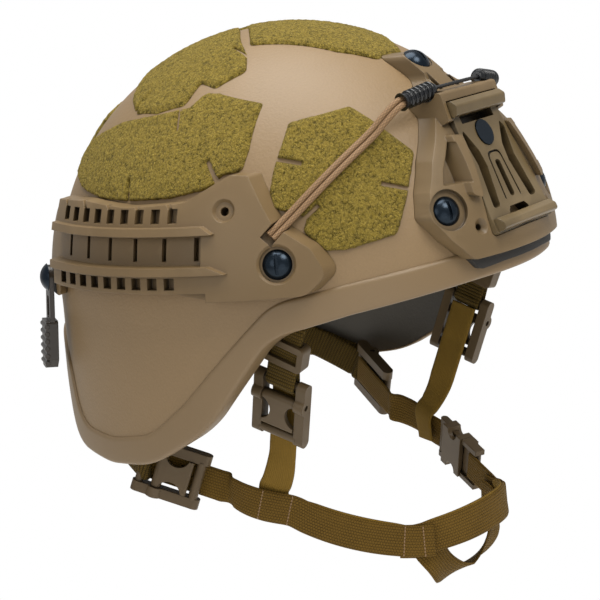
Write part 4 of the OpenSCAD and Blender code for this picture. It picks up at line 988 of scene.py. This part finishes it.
def build_chin_straps():
    """Jaw straps, release tail, chin bands, their lighter linings and the rows of stitches."""
    jaw0, jaw1 = (to_world(*REAR_BUCKLE, back, WEB_LEVEL) for back in (12, -26))
    head = straight(jaw0, jaw1, 2) + bend(jaw1 + REAR_BUCKLE[1] * 5, [-85, -8, -103], JOIN, 5)
    to_zone = JOIN + [4, -8, -2.5], [-60, -54, -128], ZONE
    end = ZONE + [5, -8.6, -0.3]
    jaw = head + bend(*to_zone, 7) + [end]
    rel = unit(ZONE - JOIN)
    mouth = to_world(JOIN, rel, UP, -37, -PLUG_LEVEL)
    jaw_left = head + [to_world(mouth, rel, UP, 26.8, 0)]
    tail = straight(*(to_world(mouth, rel, UP, back, PLUG_LEVEL) for back in (-8, -31)), 3) + [ZONE, end]
    zone_in = np.cross(unit([0.5, -0.86, 0]), UP) * -(WEB_T + SEWN)
    upper = both_halves([ZONE + zone_in + [-4, 7, 0.4]]
                        + bend(ZONE + zone_in, [-30, -105, -128], [0, -105, -128], 8))
    n = len(upper)
    upper_w = [np.array([0, 0.12 * min(1, max(0, min(i, n - 1 - i) - 3) / 3), 1]) for i in range(n)]
    leave = ZONE + zone_in * 2.6 + [2, -3.4, -3.5]
    lower = [ZONE + zone_in * 2.3 + [-4, 7, -1.5]]
    lower += bend3(leave, leave + [5.5, -9, -13], [-22, -84, -160], [0, -84, -160], 9)
    lean = [(max(0, i - 2) / (len(lower) - 3)) ** 1.3 for i in range(len(lower))]
    turn = [np.array([0, -0.9 * k, 1 - 0.72 * k]) for k in lean]
    made = {}

    def lay(name, pts, wid, node, mirror=False, body="helmet", wide=WEB_W, look=M_WEB):
        ob, made[name] = ribbon(name, pts, wid, wide, look, mirror=mirror)
        dress(ob, node, body)

    lay("strap_jaw_right", jaw, [UP] * len(jaw), "jaw_strap_right")
    lay("strap_jaw_left", jaw_left, [UP] * len(jaw_left), "jaw_strap_left", True)
    lay("strap_release_tail", tail, [UP] * len(tail), "release_tail", True, "release_plug")
    lay("strap_chin_upper", upper, upper_w, "chin_band_upper")
    lay("strap_chin_lower", both_halves(lower), turn + turn[-2::-1], "chin_band_lower")

    # lighter inner layer that shows above the jaw strap and the upper chin band
    for name, line in (("strap_jaw_lining", bend(*to_zone, 12)[1:12]), ("strap_chin_lining", upper[2:n - 2])):
        line = np.array(line)
        rise = 1.5 * np.sin(np.linspace(0, math.pi, len(line))) ** 0.5
        inward = np.cross(unit(np.gradient(line, axis=0) * [1, 1, 0]), UP) * -(WEB_T + 0.15)
        line = line + inward + rise[:, None] * UP
        lay(name, line, [UP] * len(line), None, look=M_WEB_FRONT, wide=WEB_W - 1)

    # stitch rows on the outer face of the jaw straps, at the junction and at the chin zone
    b = made["strap_jaw_right"][2]
    outer = 1.0 if (b[len(b) // 2] @ unit([-0.86, -0.5, 0])) > 0 else -1.0
    rows = [JOIN + JAW_DIR * -8, JOIN + JAW_DIR * 8, ZONE - rel * 6, ZONE + rel * 5]
    for side, spots in (("right", rows), ("left", rows[:2])):
        q, a, b = made[f"strap_jaw_{side}"]
        near = [np.argmin(np.linalg.norm(q - p, axis=1)) for p in spots]
        seats = [(q[i] + a[i] * x + b[i] * outer * (WEB_T / 2 + 0.02), a[i], b[i] * outer)
                 for i in near for x in np.arange(-7.4, 7.5, 1.85)]
        if side == "left":
            seats = [tuple(mirror_points(p) for p in seat) for seat in seats]
        dress(stitches(f"stitch_rows_{side}", seats))


def build_cords():
    """Bungee pair on each side, from its hook over the front patch to the rail, and the lanyard cord."""
    hook_t = 8 + 5.4
    hook_in, hook_out = on_front(-23, 99, hook_t), on_front(-42, 96, hook_t)
    along = unit(hook_out - hook_in)
    notch = on_side(-66, 42, 7)
    cord_r, gap = 1.5, 0.5
    over = PATCH_T + cord_r + gap

    def at(s):
        """Point at share s of the way to the notch, lifted over the patch where it would sink in."""
        p = hook_out + (notch - hook_out) * s
        q = np.linalg.norm(p / np.array([A + over, B + over, C + over]))
        return p / q if q < 1 else p

    line = [hook_out - along * 5, hook_out - along * 1]
    line += bend(hook_out + along * 1.8, hook_out + along * 6, at(0.22), 4)
    line = np.array(line + [at(0.22 + 0.78 * i / 9) for i in range(1, 10)])
    apart = unit(np.cross(path_dirs(line), out_dir(line)))
    strands = [round_cord(line + apart * side * 1.55, cord_r, braid=0.07) for side in (-1, 1)]
    for side in ("right", "left"):
        ob = cord_object(f"bungee_cord_{side}", strands, M_BUNGEE, side == "left")
        dress(ob, f"bungee_{side}")
    mid = on_front(0, 100, hook_t + 1)
    half = [hook_in + along * 2.5] + bend(hook_in - along * 2.2, [-10, mid[1], mid[2]], mid, 5)
    ob = cord_object("lanyard_braid", [round_cord(both_halves(half), 0.95, sides=14, braid=0.06)], M_CORD)
    dress(ob, "lanyard_cord")


def build_pads():
    """Crown, front and rear pads, and two pads on each side."""
    def block(w, h, x, y):
        return rounded([[x - w, y - h, 12], [x + w, y - h, 12], [x + w, y + h, 12], [x - w, y + h, 12]], 10)

    ang = np.linspace(0, 2 * math.pi, 96, endpoint=False)
    disc = np.stack([np.cos(ang), np.sin(ang)], -1) * 52
    todo = [("crown", TOP, disc, "crown_pad"), ("front", FRONT, block(31, 17, 0, 38), "front_pad"),
            ("rear", REAR, block(34, 20, 0, 30), "rear_pad")]
    for side in ("right", "left"):
        todo.append((f"side_front_{side}", turned(24), block(26, 17, -22, 63), f"side_pad_front_{side}"))
        todo.append((f"side_rear_{side}", turned(-14), block(26, 17, 30, 58), f"side_pad_rear_{side}"))
    for key, plane, outline, node in todo:
        dress(build_pad("pad_cover_" + key, plane, outline, key.endswith("left")), node)


# Build everything
dress(build_shell(), "ballistic_shell")
dress(build_trim(), "edge_trim")
build_patches()
build_pads()
build_hangers_and_front_straps()
build_chin_straps()
build_cords()

for part in frame["record"]["subparts"]:
    look = SLOT_LOOK.get(part["material_slot"])
    if look is not None:
        node = frame["nodes"][part["node"]]
        node.data.materials.clear()
        node.data.materials.append(look)


# Stage, light and camera
def white_to_camera(g, shader, white, out):
    """Pure white for the camera, and the given shader for every other ray."""
    path = g.n("LightPath")
    mix = g.n("MixShader", i0=path.outputs["Is Camera Ray"], i1=shader.outputs[0], i2=white.outputs[0])
    g.put(out.inputs[0], mix.outputs[0])


floor_material, g = new_material("pale_floor")
white_to_camera(g, g.n("BsdfDiffuse", Color=rgba((0.82, 0.81, 0.79))),
                g.n("Emission", Color=(1, 1, 1, 1), Strength=1.0), g.n("OutputMaterial"))
FLOOR_Z, FLOOR_R, FLOOR_SIDES = -0.42, 4, 64
ang = np.linspace(0, 2 * math.pi, FLOOR_SIDES, endpoint=False)
floor_mesh = bpy.data.meshes.new("studio_floor")
floor_mesh.from_pydata([(math.cos(q) * FLOOR_R, math.sin(q) * FLOOR_R, FLOOR_Z) for q in ang], [],
                       [list(range(FLOOR_SIDES))])
floor_mesh.materials.append(floor_material)
floor = link("studio_floor", floor_mesh)

world = bpy.data.worlds.new("studio_world")
bpy.context.scene.world = world
world.use_nodes = True
world.node_tree.nodes.clear()
g = Net(world.node_tree)
white_to_camera(g, g.n("Background", Color=(0.98, 0.99, 1.0, 1), Strength=0.42),
                g.n("Background", Color=(1, 1, 1, 1), Strength=1.0), g.n("OutputWorld"))

# Camera fitted to the photo: angles in degrees, focal length and shift in pixels, sensor in millimetres
AZ, EL, ROLL = math.radians(-53), math.radians(10), math.radians(-7)
FRAME_PX, FOCAL_PX, SHIFT_PX, SENSOR = 600, 1870, 36, 36
AIM_Z, DISTANCE = 0.005, 1.025
back = np.array([math.sin(AZ) * math.cos(EL), -math.cos(AZ) * math.cos(EL), math.sin(EL)])
level = np.array([math.cos(AZ), math.sin(AZ), 0.0])
upright = np.cross(back, level)
right = level * math.cos(ROLL) + upright * math.sin(ROLL)
up = -level * math.sin(ROLL) + upright * math.cos(ROLL)
cam_data = bpy.data.cameras.new("photo_camera")
cam_data.lens = FOCAL_PX * SENSOR / FRAME_PX
cam_data.sensor_width = SENSOR
cam_data.shift_y = -SHIFT_PX / FRAME_PX
cam = link("photo_camera", cam_data)
spot = np.array([0, 0, AIM_Z]) + back * DISTANCE
cam.matrix_world = Matrix([*np.stack([right, up, back, spot], 1).tolist(), [0, 0, 0, 1]])
bpy.context.scene.camera = cam


def area_light(name, place, size, power, colour=(1, 1, 1)):
    """Round softbox aimed at the middle of the helmet."""
    data = bpy.data.lights.new(name, "AREA")
    data.shape = "DISK"
    data.size = size
    data.energy = power
    data.color = colour
    ob = link(name, data)
    ob.location = tuple(place)
    ob.rotation_euler = (Vector((0, 0, 0)) - Vector(place)).to_track_quat("-Z", "Y").to_euler()


WARM = (1.0, 0.99, 0.97)
area_light("key_softbox", back * 0.9 + right * 0.9 + UP * 1.5, 1.0, 24.0, (1.0, 0.97, 0.92))
area_light("top_softbox", (0.0, 0.15, 1.8), 1.5, 36.0, WARM)
area_light("fill_softbox", back * 1.6 - right * 1.3 + UP * 0.3, 1.4, 7.0, WARM)
area_light("low_fill", back * 1.3 + right * 0.3 - UP * 0.35, 1.0, 2.0)

scene = bpy.context.scene
scene.view_settings.view_transform = "Standard"
scene.view_settings.look = "None"
